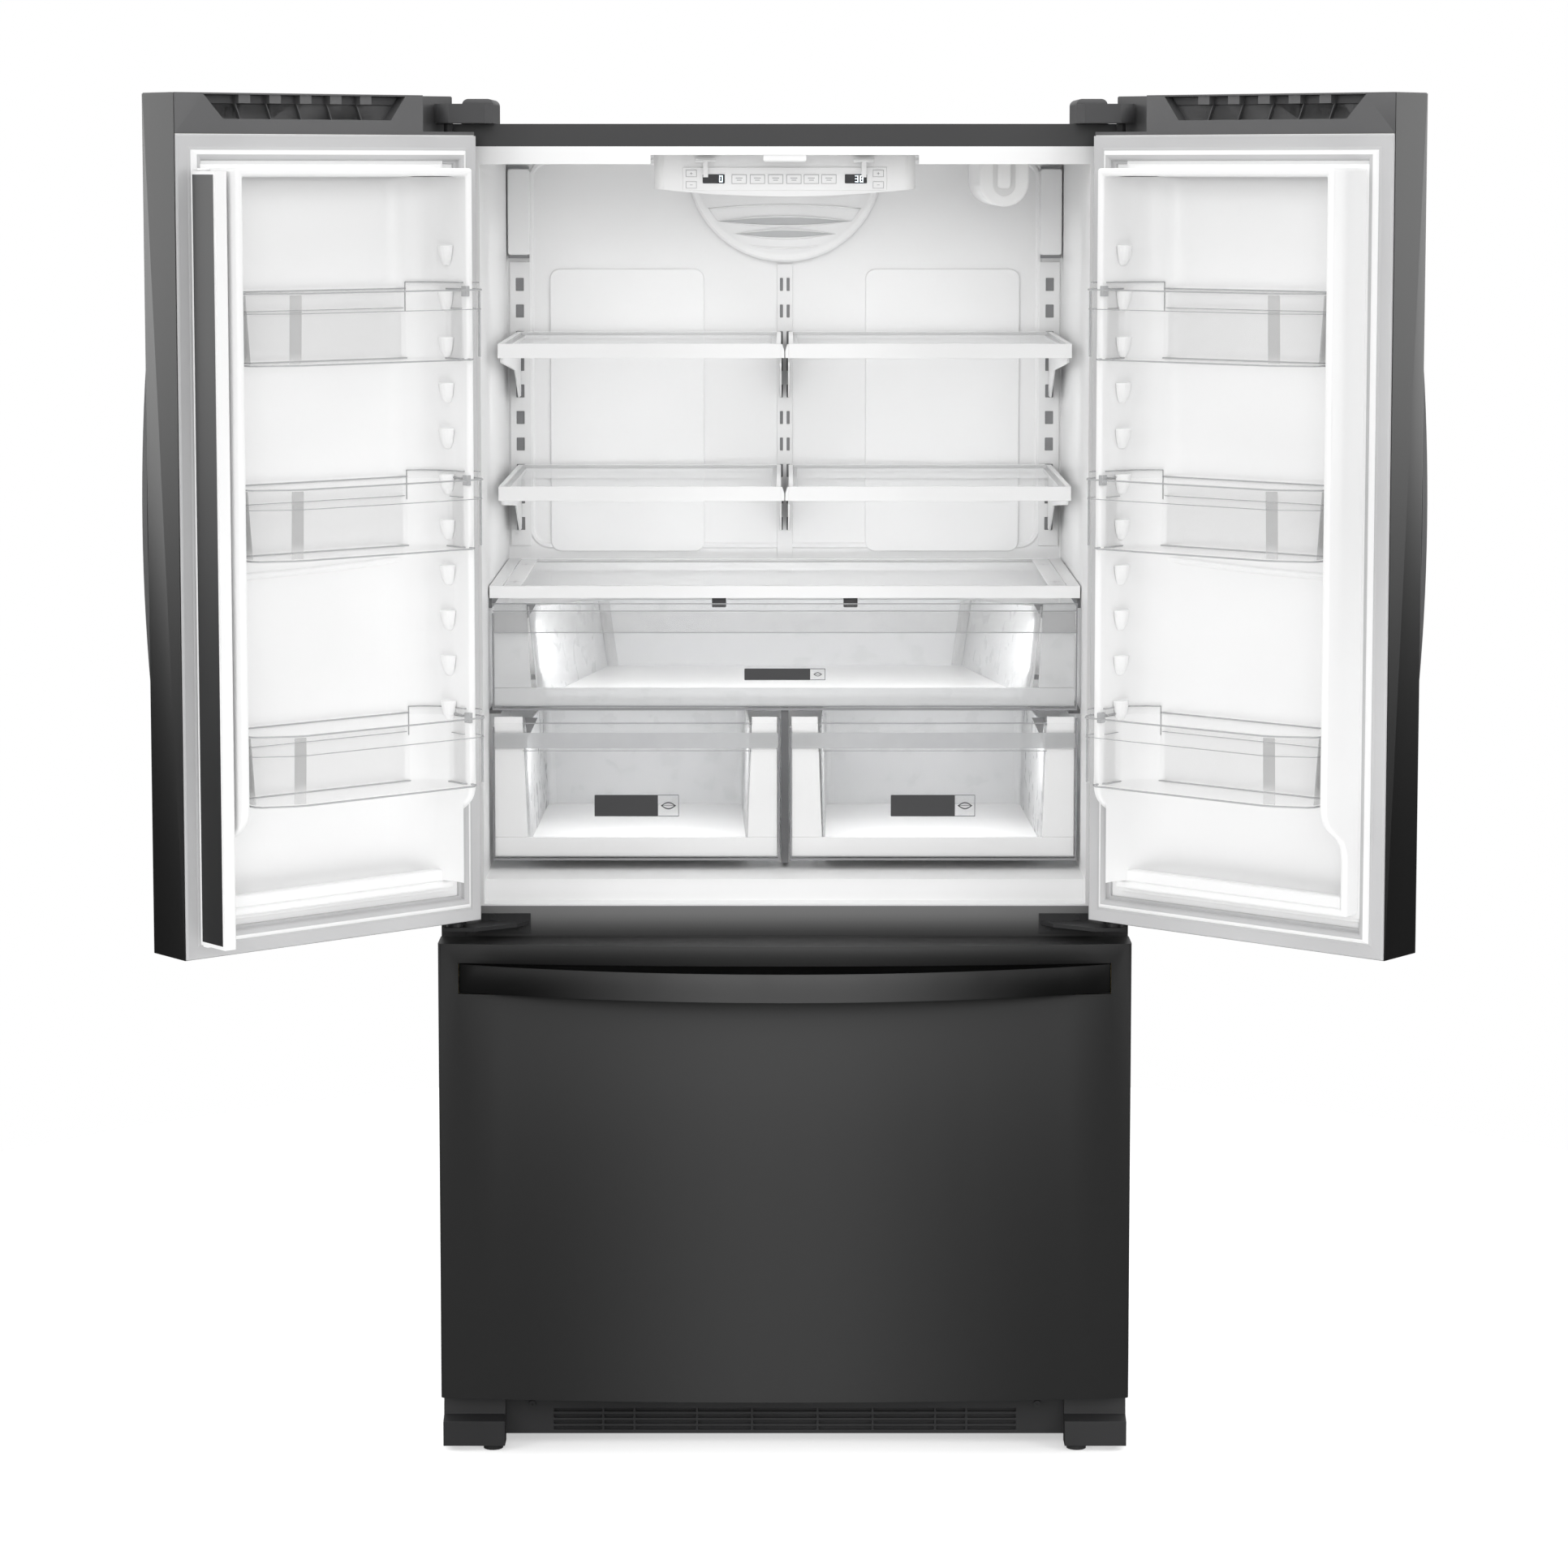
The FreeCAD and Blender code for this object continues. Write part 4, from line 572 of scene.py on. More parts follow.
def liner_fold(side, body):
    """The soft bent line across the panel between the middle and the lowest bin."""
    line = bezier((-376, 1196), (-300, 1190), (-200, 1184), (-47, 1184), 10)
    section = ((-12.6, -5), (-9.4, -2.6), (-8.6, 0), (-9.4, 2.6), (-12.6, 5))
    fold = [[(x, y, z + dz) for y, dz in section] for x, z in line]
    liner_piece(side, body, "_liner_fold", *loft(fold))


def liner_cove(side, body):
    """The wide round corner between the panel and the border's hinge side."""
    radius = 68
    quarter = arc((-309, 56), radius, 270, 180, 18)
    cove = [(-377.5, -12.5), (-309, -12.5)] + quarter + [(-377.5, 56)]
    corner = liner_piece(side, body, "_liner_cove", *prism_z(cove, LINER_FOOT, LINER_HEAD))
    smooth(corner)


def liner_cups(side, body):
    """The column of half-round studs that the bins hook on."""
    highest, pitch = 1592, 58
    turns = [math.pi * i / 10 for i in range(11)]
    cups = []
    for level in range(11):
        z = highest - pitch * level
        rings = []
        for drop, scale in ((26, 0.3), (24, 0.5), (18, 0.74), (10, 0.9), (2, 1.0), (0, 1.0)):
            rings.append([(-375 + 14 * scale * math.sin(t), 34 - 12 * scale * math.cos(t), z - drop)
                          for t in turns])
        cups.append(loft(rings))
    studs = liner_piece(side, body, "_liner_cups", *joined(*cups))
    rounded_edges(studs, 1.2, 3, 50)


def door_liner(side, body):
    dike(side, body)
    plate = slab(-450, -4, -15, -12, 722, 1730.8)
    liner_piece(side, body, "_liner_plate", *plate, (body + "_liner",))
    liner_steps(side, body)
    liner_fold(side, body)
    liner_cove(side, body)
    liner_cups(side, body)
    sill = liner_piece(side, body, "_tray_sill", *slab(-377, -46, 8, 22, 776, 792))
    rounded_edges(sill, 3.0, 3)


def frame_sweep(x0, x1, z0, z1, profile):
    """Runs a profile of (inset, y) points round a rectangle, with mitred corners."""
    rings = []
    for inset, y in profile:
        left, right, low, high = x0 + inset, x1 - inset, z0 + inset, z1 - inset
        rings.append([(left, y, low), (right, y, low), (right, y, high), (left, y, high)])
    return hoop(rings)


GASKET_SECTION = [
    (0, -12), (0, -9), (2, -8), (15, -7.4), (17, -6.4), (19.5, -6.0), (20.5, -3.4), (23, -1.2),
    (26, -0.6), (29, -1.2), (31, -3.0), (31.6, -6.5), (33, -8.5), (35.5, -8.8), (36, -12),
]
# Section of the lighter strip that paints the highlight on the gasket's crown.
BEAD_SECTION = [(18.6, -6.2), (19.6, -4.2), (21.0, -2.2), (22.6, -1.0), (24.4, -0.55), (24.4, -6.2)]
GASKET_BOUNDS = (-451, -3, 713, 1730)            # x and z of the gasket's outside


def gasket(side, body):
    """The door's seal, and a lighter strip along its crown as its painted highlight."""
    name = body + "_seal"
    seal = build(name, *frame_sweep(*GASKET_BOUNDS, GASKET_SECTION), RUBBER, body, "gasket_rubber", side,
                 (body + "_gasket",))
    rounded_edges(seal, 0.5, 2, 25)
    bead = build(name + "_bead", *frame_sweep(*GASKET_BOUNDS, BEAD_SECTION), BEAD_HIGHLIGHT, body, "gasket_rubber",
                 side)
    rounded_edges(bead, 0.3, 2, 40)


def door_cap_details(side, body):
    """The recess in the top cap, with a ledge along its upper side."""
    high = 1778.6
    hollow = [(-343, high), (-46, high), (-74, 1749.4), (-321, 1749.4)]
    back = build(body + "_cap_recess", *prism_y(hollow, -30.9, -30), RECESS, body, "dark_plastic", side)
    rounded_edges(back, 0.3, 2)
    ledge = [(-335, 1768), (-56, 1768), (-46, high), (-343, high)]
    shelf = build(body + "_cap_shelf", *prism_y(ledge, -30, -26.5), DARK, body, "dark_plastic", side)
    rounded_edges(shelf, 0.6, 2)


def mullion_face():
    """The dark steel strip on the folding bar."""
    face = slab(-14.7, -13.95, 9.4, 56.6, MULLION_FOOT + 4.5, MULLION_HEAD - 4.5)
    strip = build("flip_mullion_face", *face, BLACK, "flip_mullion", "black_steel", -1)
    rounded_edges(strip, 0.3, 2)


def mullion_lugs():
    """The two lugs that carry the folding bar's pins, and the stalk below."""
    foot = MULLION_FOOT - 3.2
    top_lug = slab(-37, -18, 4, 15, MULLION_HEAD, MULLION_HEAD + 2.8)
    bottom_lug = slab(-42, -18, 4, 15, foot, foot + 2.8)
    stalk = slab(-42, -37, 4, 15, foot, 768)
    lugs = build("mullion_lugs", *joined(top_lug, bottom_lug, stalk), LINER_WHITE, "left_door",
                 "white_plastic", -1)
    rounded_edges(lugs, 1.0, 3)


def doors():
    mullion_lugs()
    for side, body in SIDES:
        for number, floor in enumerate(BIN_FLOORS):
            door_bin(side, body, number + 1, floor)
        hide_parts(body + "_bins")
        door_liner(side, body)
        gasket(side, body)
        door_cap_details(side, body)
    mullion_face()


def freezer_handle_shade():
    """A black sheet of painted shadow in the hollow along the top of the freezer's bowed bar."""
    half, base, depth = 424.0, -67.0, 72.0
    radius = (half ** 2 + depth ** 2) / (2 * depth)
    sweep = math.degrees(math.asin(half / radius))
    front = arc((0, base - depth + radius), radius, 270 - sweep, 270 + sweep, 40)
    hollow = build("freezer_handle_hollow", *prism_z(front, 656.2, 656.8), PAINTED_SHADOW, "freezer_drawer",
                   "black_steel")
    rounded_edges(hollow, 0.15, 2)


# ---------------------------------------------------------------- drawers of the room
BAND_MATERIAL = {"deli": PAN, "left_crisper": MILKY, "right_crisper": MILKY}


def band(x0, x1, lean0, lean1, z0, z1):
    """An upright band behind a drawer's front; its edges lean in by lean0 and lean1 at its foot."""
    outline = [(x0 + lean0, z0), (x1 + lean1, z0), (x1, z1), (x0, z1)]
    return prism_y(outline, SHELF_FRONT + 3.2, SHELF_FRONT + 7.4)


def gap_shade_wedges(name, body, spots, low, high):
    """Painted shade: dark wedges in the gaps between a front's end bands and the top corners of the pan."""
    wedges = []
    for x, sign in spots:
        wedge = [(x, high), (x - sign * 17, high), (x - sign * 3, low)]
        wedges.append(prism_y(wedge, SHELF_FRONT + 8.6, SHELF_FRONT + 10))
    dark = build(name + "_notches", *joined(*wedges), SHADE_GREY, body, "clear_plastic")
    rounded_edges(dark, 0.3, 2)


def drawer_shell(name, body, x0, x1, z0, z1, clear_top, left, right, base):
    """Clear front pane with milky bands at its ends and base and a grey hem."""
    pane = build(name + "_front", *slab(x0, x1, SHELF_FRONT, SHELF_FRONT + 3, z0, clear_top), CLEAR, body,
                 "clear_plastic")
    rounded_edges(pane, 1.2, 3)
    sides = joined(band(x0 + 2, x0 + left, 0, 6, z0 + base, z1),
                   band(x1 - right, x1 - 3, -6, 0, z0 + base, z1),
                   slab(x0 + 2, x1 - 3, SHELF_FRONT + 3.4, SHELF_FRONT + 7.2, z0 + 4, z0 + base))
    bands = build(name + "_bands", *sides, BAND_MATERIAL[name], body, "clear_plastic")
    rounded_edges(bands, 1.0, 3)
    hem = [slab(x0, x1, SHELF_FRONT - 0.2, SHELF_FRONT + 8, z0, z0 + 3.0),
           slab(x0, x1, SHELF_FRONT, SHELF_FRONT + 4, z0 + 4.6, z0 + 5.8),
           slab(x0, x0 + 1.8, SHELF_FRONT, SHELF_FRONT + 8, z0, z1 - 14),
           slab(x1 - 1.8, x1, SHELF_FRONT, SHELF_FRONT + 8, z0, z1 - 2)]
    edge = build(name + "_hem", *joined(*hem), GREY_TRIM, body, "clear_plastic")
    rounded_edges(edge, 0.4, 2)


def pan_walls(name, body, front, back, top_front, top_back, floor, lean):
    """The pan behind a front: x of its sides at the front and at the back, open above and ahead."""
    y0, y1 = SHELF_FRONT + 8, PAN_BACK
    wall = 2.2

    def path(inset, drop):
        f0, f1 = front[0] + inset + drop, front[1] - inset - drop
        b0, b1 = back[0] + inset + drop, back[1] - inset - drop
        corner = 14 - inset
        points = [(f0, y0), (b0, y1 - inset - corner)]
        points += arc((b0 + corner, y1 - inset - corner), corner, 180, 90, 5)
        points += arc((b1 - corner, y1 - inset - corner), corner, 90, 0, 5)
        return points + [(b1, y1 - inset - corner), (f1, y0)]

    def ring(z_front, z_back, drop):
        plan = path(0, drop) + path(wall, drop)[::-1]
        return [(x, y, z_front + (z_back - z_front) * (y - y0) / (y1 - y0)) for x, y in plan]

    sides = build(name + "_pan", *loft([ring(floor, floor, lean), ring(top_front, top_back, 0)]), PAN, body,
                  "clear_plastic")
    rounded_edges(sides, 0.8, 2, 35)
    base = prism_z(path(wall, lean), floor, floor + wall)
    bottom = build(name + "_pan_floor", *base, MILKY, body, "clear_plastic")
    rounded_edges(bottom, 0.6, 2, 35)


def plaque(name, body, x0, x1, split, z0, z1):
    """A blank two-part plate: a dark field and a framed square with a leaf."""
    y = SHELF_FRONT - 0.9
    field = prism_y(round_rect(x0, split, z0, z1, 0.8, 3), y, y + 0.8)
    build(name + "_field", *field, LABEL, body, "clear_plastic")
    rim = joined(slab(split, x1, y, y + 0.8, z0, z0 + 0.7), slab(split, x1, y, y + 0.8, z1 - 0.7, z1),
                 slab(x1 - 0.7, x1, y, y + 0.8, z0, z1))
    build(name + "_rim", *rim, LABEL, body, "clear_plastic")
    middle = (z0 + z1) / 2
    centre = (split + x1) / 2
    half = min(x1 - split, z1 - z0) * 0.36
    rises = [half * 0.5 * math.sin(math.pi * i / 10) for i in range(11)]
    upper = [(centre - half + half * i / 5, middle + rise) for i, rise in enumerate(rises)]
    lower = [(centre + half - half * i / 5, middle - rise) for i, rise in enumerate(rises)]
    leaf = upper + lower
    inner = [(centre + (x - centre) * 0.8, middle + (z - middle) * 0.7) for x, z in leaf]
    count = len(leaf)
    verts = [(x, y, z) for x, z in leaf] + [(x, y, z) for x, z in inner]
    faces = [(i, (i + 1) % count, count + (i + 1) % count, count + i) for i in range(count)]
    outline = build(name + "_leaf", verts, faces, LABEL, body, "clear_plastic")
    wall = outline.modifiers.new("wall", "SOLIDIFY")
    wall.thickness = 0.7 * MM
    wall.offset = 0
    vein = slab(centre - half, centre + half, y, y + 0.7, middle - 0.3, middle + 0.3)
    build(name + "_vein", *vein, LABEL, body, "clear_plastic")


def deli():
    """The full-width drawer under the glass cover."""
    name, body = "deli", "deli_drawer"
    x0, x1, z0, z1 = -391, 391, 967, 1111
    drawer_shell(name, body, x0, x1, z0, z1, z1, 46, 46, 30)
    pan_walls(name, body, (-344, 344), (-268, 268), 1106, 1076, 980, 13)
    lines = [slab(x0 + 1, x1 - 1, SHELF_FRONT - 1.2, SHELF_FRONT + 0.4, z, z + 1.6) for z in (1071, 1100)]
    lines.append(slab(x0, x1, SHELF_FRONT - 1, SHELF_FRONT + 3, z1 - 1.4, z1))
    ribs = build("deli_ribs", *joined(*lines), EDGE, body, "clear_plastic")
    rounded_edges(ribs, 0.5, 2)
    # A painted sheen along the rim of the deli's front.
    strip = slab(x0 + 1, x1 - 1, SHELF_FRONT - 0.6, SHELF_FRONT, 1073, 1099)
    sheen = build("deli_rim_band", *strip, STRIPE, body, "clear_plastic")
    rounded_edges(sheen, 0.2, 2)
    corners = []
    for sign in (-1, 1):
        inner, outer, lean = sign * 266, sign * 250, sign * 13
        shade = [(inner - lean, 984), (outer - lean, 984), (outer, 1076), (inner, 1076)]
        corners.append(prism_y(shade, 480, 484))
    shades = build("deli_corner_shades", *joined(*corners), STRIPE, body, "clear_plastic")
    rounded_edges(shades, 1.0, 3)
    gap_shade_wedges(name, body, ((-349, -1), (349, 1)), 1086, 1110)
    plaque("deli_plaque", body, -54, 54, 34, 1008, 1023.5)


def crispers():
    """The two lower drawers, mirrored but for their bands and plaques."""
    for name, sign in (("left_crisper", -1), ("right_crisper", 1)):
        x0, x1 = (-391, -7) if sign < 0 else (7, 391)
        z0, z1 = 764, 958
        left, right = (40, 37) if sign < 0 else (37, 40)
        drawer_shell(name, name, x0, x1, z0, z1, z1 - 8, left, right, 31)
        pan_walls(name, name, (x0 + 41, x1 - 39), (x0 + 47, x1 - 49), 944, 930, 780, 3)
        gap_shade_wedges(name, name, ((sign * 348, sign),), 926, 956)
        frost = slab(x0 + 2, x1 - 2, SHELF_FRONT - 0.9, SHELF_FRONT + 0.1, 916, 937)
        strip = build(name + "_strip", *frost, FROST, name, "clear_plastic")
        rounded_edges(strip, 0.3, 2)
        lines = [slab(x0 + left, x1 - right, SHELF_FRONT - 0.6, SHELF_FRONT + 3.6, z1 - 9.4, z1 - 8),
                 slab(x0 + left, x1 - right, SHELF_FRONT - 0.8, SHELF_FRONT + 0.2, 912, 913)]
        edge = build(name + "_edge", *joined(*lines), EDGE, name, "clear_plastic")
        rounded_edges(edge, 0.3, 2)
        start = -255 if sign < 0 else 142
        split = -170 if sign < 0 else 228
        plaque(name + "_plaque", name, start, start + 113, split, 824, 853)


def drawers():
    freezer_handle_shade()
    deli()
    crispers()
    fronts = {"deli": "deli_drawer", "left_crisper": "left_crisper", "right_crisper": "right_crisper"}
    for name, node in fronts.items():
        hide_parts(node)


# ---------------------------------------------------------------- fresh-food room
def room_piece(name, verts, faces, material=LINER_WHITE, slot="white_plastic"):
    return build(name, verts, faces, material, "cabinet", slot)


def raised_panel(name, x0, x1, z0, z1, y0, radius, edge):
    """A round-cornered panel that stands out of the back wall to y0."""
    piece = room_piece(name, *prism_y(round_rect(x0, x1, z0, z1, radius), y0, WALL_Y))
    rounded_edges(piece, edge, 4)


def relief(name, outline, y, depth, width):
    """A soft raised line that follows an outline on the back wall."""
    count = len(outline)
    rings = []
    for i, (x, z) in enumerate(outline):
        before, after = outline[i - 1], outline[(i + 1) % count]
        along = Vector((after[0] - before[0], after[1] - before[1])).normalized()
        foot = Vector((-along.y, along.x)) * width / 2
        crest = foot * 0.4
        rings.append([(x - foot.x, y, z - foot.y), (x - crest.x, y - depth, z - crest.y),
                      (x + crest.x, y - depth, z + crest.y), (x + foot.x, y, z + foot.y)])
    rings.append(rings[0])
    smooth(room_piece(name, *loft(rings, False, False)))


def back_wall():
    """Raised panels, the border line round them and the two corner blocks, with dark strips of painted shade at
    their ends.
    """
    for label, x0, x1 in (("left", -335, -115), ("right", 115, 335)):
        raised_panel("back_panel_" + label, x0, x1, 1142, 1546, 536.5, 14, 3)
    relief("back_wall_border", round_rect(-362, 362, 1150, 1699, 26), WALL_Y, 2.4, 9)
    for label, sign in (("left", -1), ("right", 1)):
        lo, hi = sorted((sign * 363, sign * 394))
        raised_panel("corner_block_" + label, lo, hi, 1566, 1688, 524, 4, 2)
        ends = joined(slab(lo + 1, hi - 1, 525, 538, 1561.5, 1566),
                      slab(lo + 1, hi - 1, 525, 538, 1688, 1691.5))
        room_piece("corner_vents_" + label, *ends, SHADE_GREY)


def ladders():
    """Painted shade in the slots of the three ladders, as dark plates: one wide row at each side, two narrow rows
    in the middle.
    """
    slots = []
    for step in range(10):
        z = LADDER_FIRST - LADDER_PITCH * step
        for x, half in ((-LADDER_X, 5.8), (LADDER_X, 5.8), (-4.8, 2.2), (4.8, 2.2)):
            slots.append(slab(x - half, x + half, LADDER_Y, LADDER_Y + 0.6, z - 9.3, z + 9.3))
    room_piece("ladder_slots", *joined(*slots), SHADE_GREY, "ladder_steel")


BOWL_TOP = 1694
# half width, drop and y of the bowl's rings, from the wall over the rim to the middle
BOWL_RINGS = (
    (138.9, 137.9, 539), (138.9, 137.9, 527), (136, 135, 523.5), (131, 130, 522.4), (127, 126, 523.2),
    (124, 122, 525.4), (108, 106, 526.2), (60, 58, 525.2), (8, 8, 524.8),
)


def half_oval(half, drop, y):
    turns = [math.pi * i / 28 for i in range(29)]
    return [(-half * math.cos(t), y, BOWL_TOP - drop * math.sin(t)) for t in turns]


def lens(half, rise, level, y):
    """A lens outline with two bowed sides."""
    bows = [(half * i / 10, rise * math.sin(math.pi * i / 20)) for i in range(21)]
    upper = [(x - half, y, level + bow) for x, bow in bows]
    lower = [(half - x, y, level - bow) for x, bow in bows[1:-1]]
    return upper + lower


def diffuser():
    """The bowl-shaped grille under the controls, with two lens-shaped vents in raised lips; grey plates in the
    vents' mouths are painted shade.
    """
    rings = [half_oval(half, drop, y) for half, drop, y in BOWL_RINGS]
    bowl = build("diffuser_bowl", *loft(rings, False, True), LINER_WHITE, "cabinet", "white_plastic", 0,
                 ("air_diffuser",))
    smooth(bowl)
    lips = []
    mouths = []
    for half, z, height in ((93, 1614, 10.5), (70, 1596, 9.5)):
        rise = height / 2
        steps = ((3, 525.6), (2, 522.4), (0.4, 522.2), (0, 524.4))
        lips.append(loft([lens(half + grow, rise + grow, z, y) for grow, y in steps], False, False))
        mouths.append(loft([lens(half, rise, z, 524.6), lens(half, rise, z, 525.4)]))
    smooth(room_piece("diffuser_lips", *joined(*lips)))
    room_piece("diffuser_mouths", *joined(*mouths), MOUTH_SHADE)


def filter_front():
    """The U-shaped face of the filter housing with its pull tab."""
    cx, top = 292.0, 1706.0

    def u_shape(half, low):
        centre = low + half
        return [(cx + half, top), (cx - half, top)] + arc((cx, centre), half, 180, 360, 14)

    face = room_piece("filter_face", *prism_y(u_shape(33, 1638), 146, 152))
    rounded_edges(face, 3.5, 4, 40)
    # A greyer white plate inside the U: painted shade of the well.
    well = room_piece("filter_well", *prism_y(u_shape(15, 1652), 145.2, 146.2), WELL_SHADE_WHITE)
    rounded_edges(well, 0.4, 2, 40)
    tab = room_piece("filter_tab", *prism_y(round_rect(cx - 9, cx + 9, 1662, 1712, 5), 140, 146))
    weld = tab.modifiers.new("tidy", "WELD")
    weld.merge_threshold = 0.00001
    rounded_edges(tab, 2.5, 4, 40)


def diffuser_panel():
    """The shallow line round the diffuser's vents."""
    top = [(-109 + 21.8 * i, 1632 + 5 * math.sin(math.pi * i / 10)) for i in range(11)]
    low = [(75 - 15 * i, 1583 - 7 * math.sin(math.pi * i / 10)) for i in range(11)]
    relief("diffuser_line", low + top, 524.6, 0.9, 2.4)


def shelf_details():
    """Milky strips with small marks at the ends of the glass cover, and the dark clips under it."""
    pieces = []
    marks = []
    face = COVER_TOP + 0.8
    for x in (-364, 364):
        pieces.append(slab(x - 12, x + 12, 122, 500, COVER_TOP, face))
        for y in (170, 420):
            marks += [slab(x - 7, x + 7, y, y + 3, face, face + 0.05),
                      slab(x - 1.5, x + 1.5, y - 9, y + 12, face, face + 0.05)]
    strips = room_piece("cover_end_strips", *joined(*pieces), MILKY, "shelf_glass")
    rounded_edges(strips, 0.2, 2)
    room_piece("cover_end_marks", *joined(*marks), MARK_GREY, "shelf_glass")
    clips = [slab(x - 9.5, x + 9.5, 122, 134, 1104, 1117.5) for x in (-88, 88)]
    dark = room_piece("cover_clips", *joined(*clips), DARK, "dark_plastic")
    rounded_edges(dark, 1.5, 3)


def shelf_noses():
    """Ends of the upper shelves' front trims, nearly meeting over the middle ladder."""
    for shelf, top in SHELF_TOPS.items():
        low, high = top - 18.8, top - 0.4
        outline = [(5.2, low), (0.7, low), (0.7, top - 9), (3.6, high), (5.2, high)]
        for side, sign in (("left", -1), ("right", 1)):
            nose = prism_y([(sign * x, z) for x, z in outline], SHELF_FRONT + 0.4, SHELF_FRONT + 4)
            room_piece("shelf_nose_%s_%s" % (shelf, side), *nose, WHITE)


def base_details():
    """Dark sheets behind the grille's slots as painted shade, under the freezer room's flange and over the machine
    cover.
    """
    sheet = room_piece("grille_backing", *slab(-368, 368, -19.5, -17.5, 18, 73), HARDWARE, "dark_plastic")
    rounded_edges(sheet, 0.6, 2)
    sill = room_piece("freezer_sill_cover", *slab(-451, 451, 2.6, 3.4, 64, 116), SOFT_BLACK, "black_steel")
    rounded_edges(sill, 0.3, 2)
    seam = slab(-451, 451, 617.2, 618.2, 292.2, 297.8)
    strip = room_piece("back_seam_cover", *seam, SOFT_BLACK, "black_steel")
    rounded_edges(strip, 0.3, 2)


def room():
    base_details()
    back_wall()
    ladders()
    diffuser()
    shelf_details()
    shelf_noses()
    filter_front()
    diffuser_panel()


# ---------------------------------------------------------------- controls
SEGMENTS = {
    "top": (-1, 1, 2, 2), "middle": (-1, 1, 0, 0), "bottom": (-1, 1, -2, -2), "upper_left": (-1, -1, 0, 2),
    "upper_right": (1, 1, 0, 2), "lower_left": (-1, -1, -2, 0), "lower_right": (1, 1, -2, 0),
}
DIGITS = {
    "0": ("top", "bottom", "upper_left", "upper_right", "lower_left", "lower_right"),
    "3": ("top", "middle", "bottom", "upper_right", "lower_right"),
    "8": tuple(SEGMENTS),
}


def digit(value, x):
    """The lit strokes of one seven-segment digit, centred on x."""
    strokes = []
    half = 0.45
    back = KEY_FACE_Y - 0.16
    for name in DIGITS[value]:
        x0, x1, z0, z1 = SEGMENTS[name]
        strokes.append(slab(x + x0 * 1.7 - half, x + x1 * 1.7 + half, back - 0.2, back,
                            DISPLAY_Z + z0 * 1.9 - half, DISPLAY_Z + z1 * 1.9 + half))
    return strokes


def displays():
    windows = []
    for x in (-DISPLAY_X, DISPLAY_X):
        outline = round_rect(x - 14.5, x + 14.5, DISPLAY_Z - 6, DISPLAY_Z + 6, 1.5, 3)
        windows.append(prism_y(outline, KEY_FACE_Y - 0.15, KEY_FACE_Y + 0.5))
    glass = room_piece("display_windows", *joined(*windows), DISPLAY, "key_overlay")
    rounded_edges(glass, 0.15, 2)
    strokes = digit("0", -84) + digit("3", 94.5) + digit("8", 101)
    room_piece("display_digits", *joined(*strokes), GLOW, "key_overlay")


def key_frame(x, z, half_wide, half_tall, line):
    """The printed outline of a key."""
    front, back = KEY_FACE_Y - 0.15, KEY_FACE_Y + 0.05
    section = [(0, back), (0, front), (line, front), (line, back)]
    return frame_sweep(x - half_wide, x + half_wide, z - half_tall, z + half_tall, section)


def key_bar(x, z, half_wide, half_tall, height):
    return slab(x - half_wide, x + half_wide, KEY_FACE_Y - height, KEY_FACE_Y + 0.05, z - half_tall,
                z + half_tall)


def key_marks():
    """Six plain keys with two bars each, and a plus and a minus key by each display."""
    marks = []
    for x in (-60, -36, -12, 12, 35, 58):
        marks.append(key_frame(x, 1674.5, 9.7, 5.9, 0.5))
        marks.append(key_bar(x, 1676.0, 4.5, 0.4, 0.1))
        marks.append(key_bar(x, 1673.2, 3.2, 0.4, 0.1))
    plus_z, minus_z = 1682, 1667
    for x in (-123, 123):
        for z in (plus_z, minus_z):
            marks.append(key_frame(x, z, 7, 4.5, 0.4))
            marks.append(key_bar(x, z, 1.8, 0.3, 0.15))
        marks.append(key_bar(x, plus_z, 0.3, 1.8, 0.15))
    room_piece("key_marks", *joined(*marks), MARK_GREY, "key_overlay")


doors()
drawers()
room()
displays()
key_marks()


# ---------------------------------------------------------------- stage, light and camera
FLOOR_GLOW = (0.6, 0.35)                         # at the middle and at the sides
FLOOR_REACH = (2.3, 3.4)                         # half axes of the floor's oval, metres


def floor_material():
    """A pale floor whose own light falls off sideways from the middle."""
    material, nodes, links, shader = new_material("pale_floor")
    shader.inputs["Base Color"].default_value = (0.88, 0.88, 0.88, 1)
    shader.inputs["Roughness"].default_value = 0.9
    coords = nodes.new("ShaderNodeTexCoord")
    split = nodes.new("ShaderNodeSeparateXYZ")
    links.new(coords.outputs["Object"], split.inputs["Vector"])
    size = nodes.new("ShaderNodeMath")
    size.operation = "ABSOLUTE"
    links.new(split.outputs["X"], size.inputs[0])
    glow = nodes.new("ShaderNodeMapRange")
    glow.interpolation_type = "SMOOTHERSTEP"
    glow.inputs["From Min"].default_value = 0.0
    glow.inputs["From Max"].default_value = 0.75
    glow.inputs["To Min"].default_value = FLOOR_GLOW[0]
    glow.inputs["To Max"].default_value = FLOOR_GLOW[1]
    links.new(size.outputs["Value"], glow.inputs["Value"])
    shader.inputs["Emission Color"].default_value = (1, 1, 1, 1)
    links.new(glow.outputs["Result"], shader.inputs["Emission Strength"])
    return material


def studio():
    """An oval floor just under the object's feet."""
    turns = [math.radians(a) for a in range(0, 360, 6)]
    rim = [(FLOOR_REACH[0] * math.cos(t), FLOOR_REACH[1] * math.sin(t) - 1.2, 0) for t in turns]
    mesh = bpy.data.meshes.new("floor")
    mesh.from_pydata(rim, [], [tuple(range(len(rim)))])
    floor = bpy.data.objects.new("floor", mesh)
    bpy.context.scene.collection.objects.link(floor)
    floor.location.z = -0.0005
    floor.data.materials.append(floor_material())
    floor.visible_glossy = False


